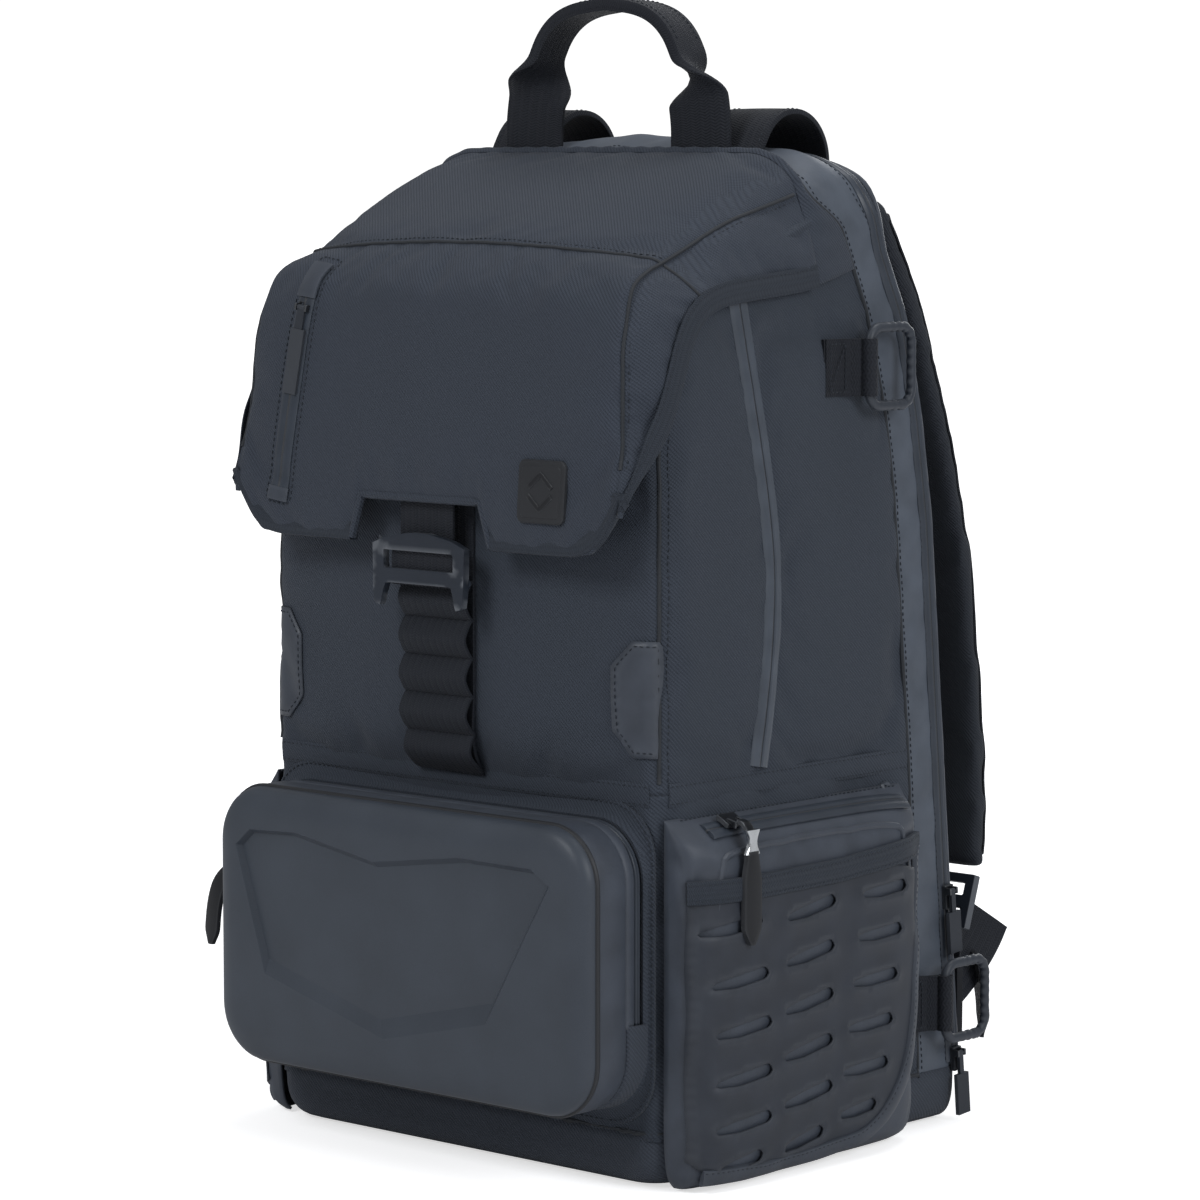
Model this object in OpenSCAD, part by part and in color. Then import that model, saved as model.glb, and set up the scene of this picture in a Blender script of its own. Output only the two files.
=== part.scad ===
// Backpack-style carrying case for a folded drone, its controller and batteries.
// Seen from the front, +X is to the right, the back panel faces +Y and +Z is up.
// The origin is the centre of the base, on the ground.

/* [Body] */
// Width of the body, from side panel to side panel
body_w = 280; // [276:1:284]
// Distance from the origin to the front panel
front_d = 120; // [119:0.5:121]
// Thickness of the padded panels
wall = 6; // [5:0.5:6.5]
// Height of the woven base tray
base_h = 28; // [24:1:30]
// Height of the middle of the belt seam round the body
belt_z = 203; // [202:1:205]
// Height of the padded shelf under the top compartment
shelf_z = 336; // [320:1:350]

/* [Lid] */
// Half the width of the lid
lid_half_w = 150; // [149:0.5:151]
// Height of the lid's lower edge at the front
lid_edge_z = 319; // [315:1:324]
// Thickness of the lid
lid_t = 4; // [3:0.5:4]

/* [Front pocket] */
// Width of the moulded front pocket
pocket_w = 268; // [260:1:268]
// Height of the moulded front pocket
pocket_h = 148; // [144:1:148]
// How far the pocket stands out from the front panel
pocket_d = 50; // [45:1:52]

/* [Side pockets] */
// How far a side pocket stands out from the side panel
side_pocket_d = 22; // [20:1:24]
// Length of a slot in the slotted panel
slot_len = 38; // [32:1:40]
// Height of a slot in the slotted panel
slot_h = 6; // [5:0.5:7]

/* [Straps and hardware] */
// Width of the carry handle's webbing
handle_w = 38; // [34:1:40]
// Thickness of the shoulder straps
strap_t = 12; // [9:1:13]
// Outside height of a strap ring
ring_h = 46; // [42:1:48]
// Length of a zip pull's tail
pull_len = 46; // [40:1:48]

/* [Hidden] */

woven = [0.20, 0.23, 0.28];
coated = [0.25, 0.28, 0.33];
shell_grey = [0.24, 0.27, 0.32];
webbing = [0.11, 0.12, 0.15];
plastic = [0.14, 0.16, 0.19];
metal = [0.72, 0.74, 0.76];
foam = [0.33, 0.35, 0.38];

half_w = body_w / 2;
inner_w = half_w - wall;
far = 700;
gap = 0.5;

// Side outline of the back edge, where the body's zip runs, as [y, z] from the base up
zip_line = [[127, 0], [97, 330], [88, 385], [74, 440], [57, 473], [48, 505], [46, 529]];
// Side outline of the seam in front of the gusset, as [y, z] from the base up
seam_line = [[92, 0], [80, 200], [66, 345], [58, 390], [42, 443], [20, 488], [-2, 503]];
lid_seam_y = -2;
lid_seam_z = 527;
ridge = [22, 536];
top_corner_r = 42;
top_corner_z = 486;
front_corner_r = 14;
base_chamfer = 10;
body_top_front = 446;
body_top_rear = 494;
sewn_front = front_d - 16;

// ---- outlines and how they are used ----

function arc(c, r, a0, a1, n) = [for (i = [0:n]) let (a = a0 + (a1 - a0) * i / n) c + r * [cos(a), sin(a)]];
function unit(v) = v / norm(v);
function left_of(v) = [-v[1], v[0]];
// Moves each edge of an anticlockwise outline inwards by d
function inset(p, d) =
    let (n = len(p))
    [for (i = [0:n - 1])
        let (a = left_of(unit(p[i] - p[(i + n - 1) % n])), b = left_of(unit(p[(i + 1) % n] - p[i])))
        p[i] + d * (a + b) / (1 + a * b)];
function backwards(p) = [for (i = [len(p) - 1:-1:0]) p[i]];
// Outline of a strip of width w along a polyline
function strip(p, w) =
    let (n = len(p), side = [for (i = [0:n - 1])
        let (a = unit(p[max(i, 1)] - p[max(i, 1) - 1]), b = unit(p[min(i, n - 2) + 1] - p[min(i, n - 2)]))
        left_of(unit(a + b)) * w / 2])
    concat([for (i = [0:n - 1]) p[i] - side[i]], backwards([for (i = [0:n - 1]) p[i] + side[i]]));
function rounded(w, h, r, n = 6) = concat(
    arc([w / 2 - r, -h / 2 + r], r, -90, 0, n), arc([w / 2 - r, h / 2 - r], r, 0, 90, n),
    arc([-w / 2 + r, h / 2 - r], r, 90, 180, n), arc([-w / 2 + r, -h / 2 + r], r, 180, 270, n));
function shifted(p, v) = [for (q = p) q + v];
// Where a side outline stands at height z
function y_at(line, z) = lookup(z, [for (p = line) [p[1], p[0]]]);

module along_x(p, x0, x1) { translate([x0, 0, 0]) rotate([90, 0, 90]) linear_extrude(x1 - x0) polygon(p); }
module along_y(p, y0, y1) { translate([0, y1, 0]) rotate([90, 0, 0]) linear_extrude(y1 - y0) polygon(p); }
module along_z(p, z0, z1) { translate([0, 0, z0]) linear_extrude(z1 - z0) polygon(p); }
module block(x, y, z) { translate([x[0], y[0], z[0]]) cube([x[1] - x[0], y[1] - y[0], z[1] - z[0]]); }
module left() { mirror([1, 0, 0]) children(); }
module both() { children(); left() children(); }

// ---- body ----

body_profile = concat(
    [[-front_d, base_chamfer], [-front_d + base_chamfer, 0]], zip_line,
    [ridge, [lid_seam_y, lid_seam_z], [lid_seam_y, body_top_rear],
     [-front_d + 8, body_top_front + 4], [-front_d, body_top_front - 6]]);
body_outline = concat(
    [[-half_w, 0], [half_w, 0]],
    arc([half_w - top_corner_r, top_corner_z], top_corner_r, 0, 84, 7), [[0, top_corner_z + 50]],
    arc([-half_w + top_corner_r, top_corner_z], top_corner_r, 96, 180, 7));
footprint = concat(
    arc([-half_w + front_corner_r, -front_d + front_corner_r], front_corner_r, 180, 270, 5),
    arc([half_w - front_corner_r, -front_d + front_corner_r], front_corner_r, 270, 360, 5),
    [[half_w, 160], [-half_w, 160]]);
door_w = 252;
door_opening = shifted(rounded(door_w, 470, 34), [0, base_h + 235]);

module body_solid(d) {
    intersection() {
        along_x(inset(body_profile, d), -far, far);
        along_y(inset(body_outline, d), -far, far);
        along_z(inset(footprint, d), -1, far);
    }
}
module cavity() {
    body_solid(wall);
    along_y(door_opening, 0, far);
}
// The body's shell inside the box or region given as a child
module shell_part() {
    difference() {
        intersection() {
            body_solid(0);
            union() children();
        }
        cavity();
    }
}

module front_panel() {
    color(woven) shell_part() block([-far, far], [-far, -sewn_front], [belt_z, far]);
}
module lower_front_panel() {
    color(woven) shell_part() block([-far, far], [-far, -sewn_front], [base_h, belt_z]);
}
side_region = concat(
    [[-sewn_front, base_h], [y_at(seam_line, base_h), base_h]],
    [for (p = seam_line) if (p[1] > base_h) p], [[lid_seam_y, far], [-sewn_front, far]]);
module side_panel() {
    intersection() {
        body_solid(0);
        along_x(side_region, inner_w, half_w);
    }
}
module side_panel_right() { color(woven) side_panel(); }
module side_panel_left() { color(woven) left() side_panel(); }
module base_panel() {
    color(woven) shell_part() block([-far, far], [-far, far], [-1, base_h]);
}
module top_collar() {
    color(woven) difference() {
        shell_part()
            block([-inner_w, inner_w], [-sewn_front, lid_seam_y], [body_top_front - 40, body_top_rear]);
        along_z(shifted(rounded(208, 68, 24), [0, -52]), 0, far);
    }
}
gusset_region = concat(
    [[y_at(seam_line, base_h), base_h], [y_at(zip_line, base_h), base_h]],
    [for (p = zip_line) if (p[1] > base_h) p], [[46, far], [lid_seam_y, far]],
    backwards([for (p = seam_line) if (p[1] > base_h) p]));
module rear_gusset() {
    color(coated) shell_part() {
        along_x(gusset_region, -far, far);
        block([-inner_w, inner_w], [lid_seam_y, 10], [480, 520]);
    }
}
zip_proud = 1.6;
module rear_zip() {
    zip_run = concat([[y_at(zip_line, 34), 34]], [for (p = zip_line) if (p[1] > base_h) p], [[46, far]]);
    color(plastic) intersection() {
        difference() {
            along_y(inset(body_outline, -zip_proud), -far, far);
            along_y(body_outline, -far - 1, far + 1);
        }
        along_x(shifted(strip(zip_run, 6), [-3.5, 0]), -far, far);
        block([-far, far], [0, far], [30, far]);
    }
}
module belt_seam() {
    color(coated) intersection() {
        difference() {
            along_z(inset(footprint, -1.2), belt_z - 6, belt_z + 6);
            along_z(footprint, 0, far);
        }
        block([-far, far], [-far, 78], [0, far]);
    }
}

chain_w = 46;
chain_top = 292;
loop_pitch = 22;
module webbing_loop(z) {
    // a shallow arch of webbing standing out of the strip, between two bar tacks
    rise = 6;
    span = loop_pitch - 4;
    r = (span * span / 4 + rise * rise) / (2 * rise);
    half_a = asin(span / 2 / r);
    outer = arc([0, 0], r + 1.4, -half_a, half_a, 8);
    inner = arc([0, 0], r, -half_a, half_a, 8);
    translate([0, -front_d - 1.4, z - loop_pitch / 2])
        along_x([for (p = concat(outer, backwards(inner))) [-(p[0] - r * cos(half_a)), p[1]]],
            -chain_w / 2, chain_w / 2);
}
module daisy_chain() {
    color(webbing) intersection() {
        union() {
            block([-chain_w / 2, chain_w / 2], [-front_d - 1.6, -front_d], [belt_z + 7, chain_top]);
            for (i = [0:3]) webbing_loop(chain_top - i * loop_pitch);
        }
        block([-far, far], [-far, -front_d], [0, far]);
    }
}

side_zip_line = [[-62, 452], [-36, 345], [-32, 300], [-36, 255], [-44, 213]];
side_zip_t = 1.4;
module side_zips() {
    color(coated) both() along_x(strip(side_zip_line, 14), half_w, half_w + side_zip_t);
}

pocket_x = half_w + side_pocket_d;
side_outline = [
    [half_w, -front_d + 2], [half_w + 12, -front_d + 10], [pocket_x - 3, -84], [pocket_x, -45],
    [pocket_x, 18], [pocket_x - 5, 50], [half_w + 8, 68], [half_w, 72]];
pocket_top = 192;
pocket_top_slope = 0.56;
pocket_wall = 2.5;
module side_pocket() {
    top = [[half_w, 5], [half_w + 10, 5], [pocket_x + 1, 20],
           [pocket_x + 1, pocket_top - pocket_top_slope * (side_pocket_d + 1)], [half_w, pocket_top]];
    difference() {
        intersection() {
            along_z(side_outline, 0, far);
            along_y(top, -far, far);
        }
        intersection() {
            along_z(concat([[half_w - 1, -front_d + 8]],
                inset([for (i = [1:6]) side_outline[i]], pocket_wall), [[half_w - 1, 66]]), 0, far);
            along_y(inset(top, pocket_wall), -far, far);
        }
        block([half_w + 9, half_w + 13], [-86, 54], [150, far]);
    }
}
module side_pocket_right() { color(coated) side_pocket(); }
module side_pocket_left() { color(coated) left() side_pocket(); }

panel_t = 1.8;
panel_top = 158;
slot_rows = 5;
slot_pitch = 24.5;
slot_columns = [-84, -33, 19];
panel_edge = [[-front_d + 9, 24], [-86, 22], [26, 22], [50, 40], [60, 68], [66, 122], [68, panel_top],
              [-front_d + 9, panel_top]];
module slot(y, z) {
    tip = slot_h / 2;
    x = slot_len / 2;
    translate([0, y, z]) rotate([4, 0, 0])
        along_x([[-x, 0], [tip - x, -tip], [x - tip, -tip], [x, 0], [x - tip, tip], [tip - x, tip]],
            half_w + 1, far);
}
module slotted_panel() {
    difference() {
        intersection() {
            along_z(inset(side_outline, -panel_t), 0, far);
            along_x(panel_edge, half_w + 2, far);
        }
        along_z(side_outline, -1, far);
        for (c = [0:2])
            for (r = [0:slot_rows - 1])
                slot(slot_columns[c], 135 + 4 * c - slot_pitch * r);
    }
}
module slotted_panel_right() { color(shell_grey) slotted_panel(); }
module slotted_panel_left() { color(shell_grey) left() slotted_panel(); }

pocket_zip_t = 1.6;
top_angle = atan(pocket_top_slope);
// The sloping top of the right side pocket: x outwards down the slope, z normal to it
module on_pocket_top() {
    translate([half_w, 0, pocket_top]) rotate([0, top_angle, 0]) children();
}
zip_across = 12.5;
module side_pocket_zips() {
    color(plastic) both() on_pocket_top()
        block([zip_across - 5, zip_across + 5], [-92, 58], [0, pocket_zip_t]);
}

module corner_patches() {
    hex = [[112, 232], [126, 220], [far, 220], [far, 282], [126, 282], [112, 268]];
    color(coated) both() intersection() {
        difference() {
            along_z(inset(footprint, -1), 0, far);
            along_z(footprint, -1, far + 1);
        }
        along_y(hex, -far, -front_d + 9);
    }
}

// Each strap ring turns about an upright bar held in a webbing tab: [y, z] of the bar's middle
ring_x = half_w + 11;
bar_r = 2.6;
tab_r = 3;
ring_bars = [[32, 414], [100, 69]];
ring_d = 40;
module ring_tab(y, z) {
    tab_h = ring_h - 20;
    translate([0, y, z - tab_h / 2]) {
        difference() {
            union() {
                translate([ring_x, 0, 0]) cylinder(r = tab_r + 1.6, h = tab_h, $fn = 48);
                block([half_w, half_w + 2.4], [-26, -4], [0, tab_h]);
                along_z([[half_w + 2.4, -22], [half_w + 2.4, -18], [ring_x - 1, -1], [ring_x + 4.5, -1],
                    [ring_x + 4, -5]], 0, tab_h);
            }
            translate([ring_x, 0, -1]) cylinder(r = tab_r, h = tab_h + 2, $fn = 48);
        }
    }
}
module ring_tabs() {
    color(webbing) both() for (b = ring_bars) ring_tab(b[0], b[1]);
}
module strap_ring(y, z) {
    bar_w = 5.5;
    translate([ring_x, y, z]) {
        difference() {
            along_x(shifted(rounded(ring_d, ring_h, 9), [ring_d / 2 - bar_w / 2, 0]), -2.5, 2.5);
            along_x(shifted(rounded(ring_d - 2 * bar_w, ring_h - 2 * bar_w, 4.5),
                [ring_d / 2 - bar_w / 2, 0]), -3, 3);
            block([-3, 3], [-5, bar_w / 2 + 1], [-ring_h / 2 + 9, ring_h / 2 - 9]);
        }
        translate([0, 0, -ring_h / 2 + 7]) cylinder(r = bar_r, h = ring_h - 14, $fn = 32);
    }
}
module ring_upper_right() { color(plastic) strap_ring(ring_bars[0][0], ring_bars[0][1]); }
module ring_upper_left() { color(plastic) left() strap_ring(ring_bars[0][0], ring_bars[0][1]); }
module ring_lower_right() { color(plastic) strap_ring(ring_bars[1][0], ring_bars[1][1]); }
module ring_lower_left() { color(plastic) left() strap_ring(ring_bars[1][0], ring_bars[1][1]); }

module shelf() {
    color(foam) along_z(shifted(rounded(2 * inner_w - 2, 186, 10), [0, -19]), shelf_z - 3, shelf_z + 3);
}
divider_z = 186;
module padded_dividers() {
    color(foam) {
        along_z(shifted(rounded(2 * inner_w - 2, 170, 10), [0, -27]), divider_z - 3, divider_z + 3);
        for (x = [-46, 46]) block([x - 3, x + 3], [-106, 56], [wall + 2, divider_z - 4]);
    }
}

// ---- front pocket ----

pocket_z = 116;
pocket_r = 28;
base_t = 6;
zip_t = 4.4;
gusset_t = 8;
function pocket_outline(d) =
    shifted(rounded(pocket_w - 2 * d, pocket_h - 2 * d, pocket_r - d), [0, pocket_z]);
module pocket_ring(outer, inner, y0, y1) {
    difference() {
        along_y(pocket_outline(outer), y0, y1);
        along_y(pocket_outline(inner), y0 - 1, y1 + 1);
    }
}
door_back = -front_d - base_t;
zip_front = door_back - gap - zip_t;
shell_back = zip_front - gusset_t;
shell_front = -front_d - pocket_d;
module pocket_base() {
    color(woven) pocket_ring(-1, 6, door_back, -front_d);
}
module front_zip() {
    color(plastic) intersection() {
        pocket_ring(1.5, 6, zip_front, door_back - gap);
        block([-far, far], [-far, 0], [88, far]);
    }
}
module pocket_gusset() {
    color(coated) pocket_ring(2, 6, shell_back, zip_front);
}
module pocket_block(d) {
    y = shell_back - shell_front;
    hull() {
        along_y(pocket_outline(d), shell_back - 1, shell_back);
        along_y(pocket_outline(d), shell_back - y * 0.62, shell_back - y * 0.6);
        along_y(pocket_outline(d + 5), shell_back - y * 0.91, shell_back - y * 0.9);
        along_y(pocket_outline(d + 12), shell_front + d, shell_front + d + 0.5);
    }
}
shield = [[-95, 98], [-6, 74], [78, 98], [106, 158], [58, 172], [-6, 163], [-70, 174], [-116, 160]];
module hard_shell() {
    color(shell_grey) {
        difference() {
            pocket_block(0);
            pocket_block(3.2);
            along_y(pocket_outline(3.2), shell_back - 2, far);
        }
        along_y(shield, shell_front - 1.4, shell_front + 0.5);
    }
}
module organiser_panel() {
    color(foam) along_y(shifted(rounded(220, 96, 10), [0, 96]), -front_d - 2.5, -front_d);
}

// ---- lid ----

lid_fold = [[-138, 460], [-134.5, 470], [-126, 475.5]];
lid_slope = (lid_seam_z - 1 - lid_fold[2][1]) / (lid_seam_y - 1 - lid_fold[2][0]);
lid_lean = 12 / 160;
lid_profile = concat(
    [[lid_fold[0][0] - lid_lean * 260, 200], [60, 200],
     [60, lid_fold[2][1] + lid_slope * (60 - lid_fold[2][0])]],
    backwards(lid_fold));
lid_corner = 30;
lid_arch = concat(
    [[-lid_half_w, -360], [lid_half_w, -360]],
    arc([lid_half_w - lid_corner, -9 - lid_corner], lid_corner, 0, 86, 6), [[0, 0]],
    arc([-lid_half_w + lid_corner, -9 - lid_corner], lid_corner, 94, 180, 6));
lid_plan = concat(
    arc([-lid_half_w + lid_corner, -152 + lid_corner], lid_corner, 180, 270, 6),
    arc([lid_half_w - lid_corner, -152 + lid_corner], lid_corner, 270, 360, 6),
    [[lid_half_w, 160], [-lid_half_w, 160]]);
module lid_block(d) {
    intersection() {
        along_x(inset(lid_profile, d), -far, far);
        translate([0, lid_fold[2][0], lid_fold[2][1]]) rotate([atan(lid_slope), 0, 0])
            along_y(inset(lid_arch, d), -300, 300);
        along_z(inset(lid_plan, d), 100, far);
    }
}
lid_rear_y = lid_seam_y - 1.5;
wing_edge = [[-152, lid_edge_z + 2], [-142, lid_edge_z + 18], [-137, 392], [-123, 424], [-104, 443],
             [-75, 453], [40, 468]];
lid_kept = concat(
    [[-240, 600], [-240, lid_edge_z], [-152, lid_edge_z]], wing_edge, [[40, 600]]);
notch = [[-47, 300], [47, 300], [47, lid_edge_z], [38, lid_edge_z + 14], [-38, lid_edge_z + 14],
         [-47, lid_edge_z]];
module lid_trim(kept) {
    difference() {
        intersection() {
            children();
            along_x(kept, -far, far);
            block([-far, far], [-far, lid_rear_y], [0, far]);
        }
        along_y(notch, -far, -100);
    }
}
module lid_shell() {
    color(woven) lid_trim(lid_kept) difference() {
        lid_block(0);
        lid_block(lid_t);
    }
}
binding_w = 10;
binding_t = 1.2;
module lid_binding() {
    color(coated) lid_trim(lid_kept) difference() {
        lid_block(-binding_t);
        lid_block(0);
        along_x(shifted(lid_kept, [0, binding_w]), -far, far);
    }
}
// The lid's front face: x across, z up the face from the lower edge, -y out of it
lid_face_angle = atan(lid_lean);
module on_lid_front() {
    translate([0, lid_fold[0][0] - lid_lean * 160, 300]) rotate([-lid_face_angle, 0, 0]) children();
}
lid_zip_top = [-90, 150];
lid_zip_end = [-105, 40];
lid_zip_t = 1.4;
module lid_zip() {
    color(coated) on_lid_front() along_y(strip([lid_zip_end, lid_zip_top], 13), -lid_zip_t, 0);
}
module lid_badge() {
    color(plastic) on_lid_front() {
        along_y(shifted(rounded(30, 30, 4), [88, 56]), -1.6, 0);
        along_y(shifted(rounded(16, 16, 8), [88, 56]), -2.2, -1.6);
    }
}
hook_y = -147.5;
hook_z = 319;
module lid_strap() {
    color(webbing) block([-19, 19], [hook_y + 4.9, hook_y + 6.7], [hook_z - 3, hook_z + 24]);
}
module hook_buckle() {
    frame = [[-30, -23], [-22, -23], [-18, -12], [18, -12], [22, -23], [30, -23], [32, -10], [30, -2],
             [22, 4], [-22, 4], [-30, -2], [-32, -10]];
    window = [[-24, -7.5], [24, -7.5], [24, -4.2], [20, -1], [-20, -1], [-24, -4.2]];
    color(plastic) translate([0, hook_y, hook_z]) difference() {
        along_y(frame, -2.2, 2.2);
        along_y(window, -3, 3);
    }
}

// ---- back panel and harness ----

door_t = 9;
door_gap = 0.6;
pad_t = 12;
door_top = 504;
function behind(d, z0, z1) = concat(
    [[y_at(zip_line, z0) + d, z0]], [for (p = zip_line) if (p[1] > z0 && p[1] < z1) [p[0] + d, p[1]]],
    [[y_at(zip_line, z1) + d, z1]]);
function slab(d0, d1, z0, z1) = concat(behind(d1, z0, z1), backwards(behind(d0, z0, z1)));
module back_panel() {
    color(woven) intersection() {
        along_x(slab(door_gap, door_gap + door_t, 14, door_top), -inner_w, inner_w);
        along_y(shifted(rounded(2 * inner_w, door_top - 14, 36), [0, (door_top + 14) / 2]), 0, far);
    }
}
module back_pads() {
    color(foam) intersection() {
        along_x(slab(door_gap + door_t, door_gap + door_t + pad_t, 50, 470), -far, far);
        union() {
            both() along_y(shifted(rounded(92, 190, 22), [60, 372]), 0, far);
            along_y(shifted(rounded(212, 96, 26), [0, 208]), 0, far);
            along_y(shifted(rounded(212, 84, 26), [0, 104]), 0, far);
        }
    }
}
// The shoulder straps bow away from the back panel on one long arc
bow = [-212, 250];
bow_r = 380;
strap_top = 500;
strap_end = 132;
function along_strap(z) = (strap_top - z) / (strap_top - strap_end);
function strap_mid(z) = 84 - 40 * along_strap(z) + 68 * pow(along_strap(z), 2);
function strap_half(z) = 32 - 12 * pow(along_strap(z), 2);
module shoulder_strap() {
    rows = [for (i = [0:12]) strap_end + (strap_top - strap_end) * i / 12];
    outline = concat(
        [for (z = rows) [strap_mid(z) + strap_half(z), z]],
        backwards([for (z = rows) [strap_mid(z) - strap_half(z), z]]));
    intersection() {
        along_y(outline, 0, far);
        difference() {
            translate([0, bow[0], bow[1]]) rotate([0, 90, 0])
                cylinder(r = bow_r + strap_t, h = 400, center = true, $fn = 96);
            translate([0, bow[0], bow[1]]) rotate([0, 90, 0])
                cylinder(r = bow_r, h = 402, center = true, $fn = 96);
        }
    }
}
module shoulder_strap_right() { color(woven) shoulder_strap(); }
module shoulder_strap_left() { color(woven) left() shoulder_strap(); }
module strap_adjuster() {
    end_x = strap_mid(strap_end);
    translate([end_x, bow[0] + bow_r * cos(asin((strap_end - bow[1]) / bow_r)), strap_end - 1])
        rotate([-18, 0, 0]) difference() {
            block([-20, 20], [1, 6], [-30, 0]);
            block([-14, 14], [0, 7], [-26, -19]);
            block([-14, 14], [0, 7], [-12, -5]);
        }
}
module strap_adjuster_right() { color(plastic) strap_adjuster(); }
module strap_adjuster_left() { color(plastic) left() strap_adjuster(); }
module lower_webbing() {
    tail = [[136, 44], [150, 46], [184, 74], [190, 94], [170, 98], [150, 92], [136, 80]];
    color(webbing) both() {
        block([108, 130], [y_at(zip_line, 42) + door_gap + door_t, 138], [42, 82]);
        along_x(tail, 112, 115);
    }
}
band = [36, 520];
band_r = 25;
module strap_bands() {
    color(webbing) both() difference() {
        translate([54, band[0], band[1]]) rotate([0, 90, 0]) difference() {
            cylinder(r = band_r + 3, h = 64, $fn = 64);
            translate([0, 0, -1]) cylinder(r = band_r, h = 66, $fn = 64);
        }
        block([0, 200], [-50, band[0]], [400, 536.5]);
        block([0, 200], [band[0], 200], [400, 506]);
    }
}
// Chest strap halves lie on the straps' outer faces and slide along them
chest_z = 392;
chest_a = asin((chest_z - bow[1]) / bow_r);
module chest_half() {
    x = strap_mid(chest_z);
    translate([0, bow[0], bow[1]]) rotate([chest_a, 0, 0]) translate([0, bow_r + strap_t, 0]) {
        block([x - 22, x + 22], [0.8, 3], [-12, 12]);
        block([18, x - 21], [0.8, 3], [-10, 10]);
    }
}
module chest_strap_right() {
    color(webbing) {
        chest_half();
        translate([0, bow[0], bow[1]]) rotate([chest_a, 0, 0]) translate([0, bow_r + strap_t, 0])
            block([3, 19], [0.6, 6], [-11, 11]);
    }
}
module chest_strap_left() {
    color(webbing) {
        left() chest_half();
        left() translate([0, bow[0], bow[1]]) rotate([chest_a, 0, 0]) translate([0, bow_r + strap_t, 0])
            block([3, 19], [0.6, 6], [-11, 11]);
    }
}

// ---- handle ----

handle_y = 2.5;
handle_z = 533;
handle_rise = 70;
module carry_handle() {
    leg = [[50, 0], [50 + handle_w, 0], [48 + handle_w, 20], [60, 44], [46, 44], [48, 16]];
    color(webbing) translate([0, handle_y, handle_z]) {
        both() along_y(leg, -2.5, 2.5);
        translate([0, 0, handle_rise - 52]) rotate([90, 0, 0]) rotate_extrude(angle = 180, $fn = 96)
            translate([45, -11]) square([7, 22]);
        both() along_y([[45, handle_rise - 52], [52, handle_rise - 52], [60, 44], [46, 44]], -2.5, 2.5);
    }
}

// ---- zip sliders and pulls, drawn with the zip along y, its pull towards -y and its face towards +z ----

ear_z = 4.2;
pin_r = 0.9;
rear_upper_z = 128;
rear_lower_z = 38;
rear_pull_len = 34;
module slider(width = 9) {
    block([-width / 2, width / 2], [-10, 3], [0, 2.6]);
    for (x = [-width / 2, width / 2 - 1.4]) block([x, x + 1.4], [-1.8, 1.8], [2, ear_z + 1.6]);
    translate([0, 0, ear_z]) rotate([0, 90, 0]) cylinder(r = pin_r, h = width - 1, center = true, $fn = 24);
}
module pull(width = 9, length = pull_len) {
    tongue = width - 2.8 - 0.8;
    difference() {
        union() {
            translate([0, 0, ear_z]) rotate([0, 90, 0])
                cylinder(r = 1.4, h = tongue, center = true, $fn = 32);
            block([-tongue / 2, tongue / 2], [-12, 0], [ear_z - 1, ear_z + 1]);
            block([-5, 5], [-length, -11.5], [ear_z - 1, ear_z + 1.4]);
        }
        translate([0, 0, ear_z]) rotate([0, 90, 0])
            cylinder(r = pin_r + 0.15, h = width, center = true, $fn = 32);
    }
}
// Places a slider or pull at [y, z] on the right side face, along a zip that leans by a degrees
module on_side(x, p, a) { translate([x, p[0], p[1]]) rotate([a, 0, 0]) rotate([90, 0, 90]) children(); }
module on_lid_zip() {
    d = lid_zip_top - lid_zip_end;
    on_lid_front() translate([lid_zip_top[0], -lid_zip_t, lid_zip_top[1] - 6])
        rotate([90, 0, 0]) rotate([0, 0, -atan(d[0] / d[1])]) children();
}
module on_front_zip() {
    translate([-pocket_w / 2 + 1.5, zip_front + 1.2, 146]) rotate([90, 0, -90]) children();
}
rear_lean = atan((zip_line[0][0] - zip_line[1][0]) / zip_line[1][1]);
module on_rear_zip(z) { on_side(half_w + zip_proud, [y_at(zip_line, z) - 3.5, z], rear_lean) children(); }

module lid_slider() { color(plastic) on_lid_zip() slider(); }
module lid_pull() { color(plastic) on_lid_zip() pull(); }
module front_slider() { color(plastic) on_front_zip() slider(7); }
module front_pull() { color(plastic) on_front_zip() pull(7); }
// A side pocket's slider runs along Y, and its pull hangs over the pocket's edge from a pin along Y
pocket_slider_y = -80;
pocket_pin = [half_w + 18.5, pocket_top - 5];
module pocket_slider() {
    translate([0, pocket_slider_y, 0]) {
        on_pocket_top()
            block([zip_across - 4.5, zip_across + 4.5], [-6.5, 6.5], [pocket_zip_t, pocket_zip_t + 2.6]);
        for (y = [-4.5, 3.1])
            along_y(shifted([[-5, -0.4], [1, -1.8], [1.5, 1.5], [-5, 3]], pocket_pin), y, y + 1.4);
        translate([pocket_pin[0], 0, pocket_pin[1]]) rotate([90, 0, 0])
            cylinder(r = pin_r, h = 8, center = true, $fn = 24);
    }
}
module side_pocket_slider_right() { color(plastic) pocket_slider(); }
module side_pocket_slider_left() { color(plastic) left() pocket_slider(); }
module pocket_pull() {
    face_x = pocket_x + panel_t + 2.6;
    tongue = [pocket_pin, [face_x - 2.5, pocket_pin[1] - 0.5], [face_x, pocket_pin[1] - 5],
              [face_x, pocket_pin[1] - 16]];
    tail = [[face_x, pocket_pin[1] - 15], [face_x, pocket_pin[1] - pull_len - 12]];
    translate([0, pocket_slider_y, 0]) difference() {
        union() {
            translate([pocket_pin[0], 0, pocket_pin[1]]) rotate([90, 0, 0])
                cylinder(r = 1.6, h = 5.4, center = true, $fn = 32);
            along_y(strip(tongue, 2), -2.7, 2.7);
            along_y(strip(tail, 2.6), -5.5, 5.5);
        }
        translate([pocket_pin[0], 0, pocket_pin[1]]) rotate([90, 0, 0])
            cylinder(r = pin_r + 0.15, h = 9, center = true, $fn = 32);
    }
}
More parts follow.
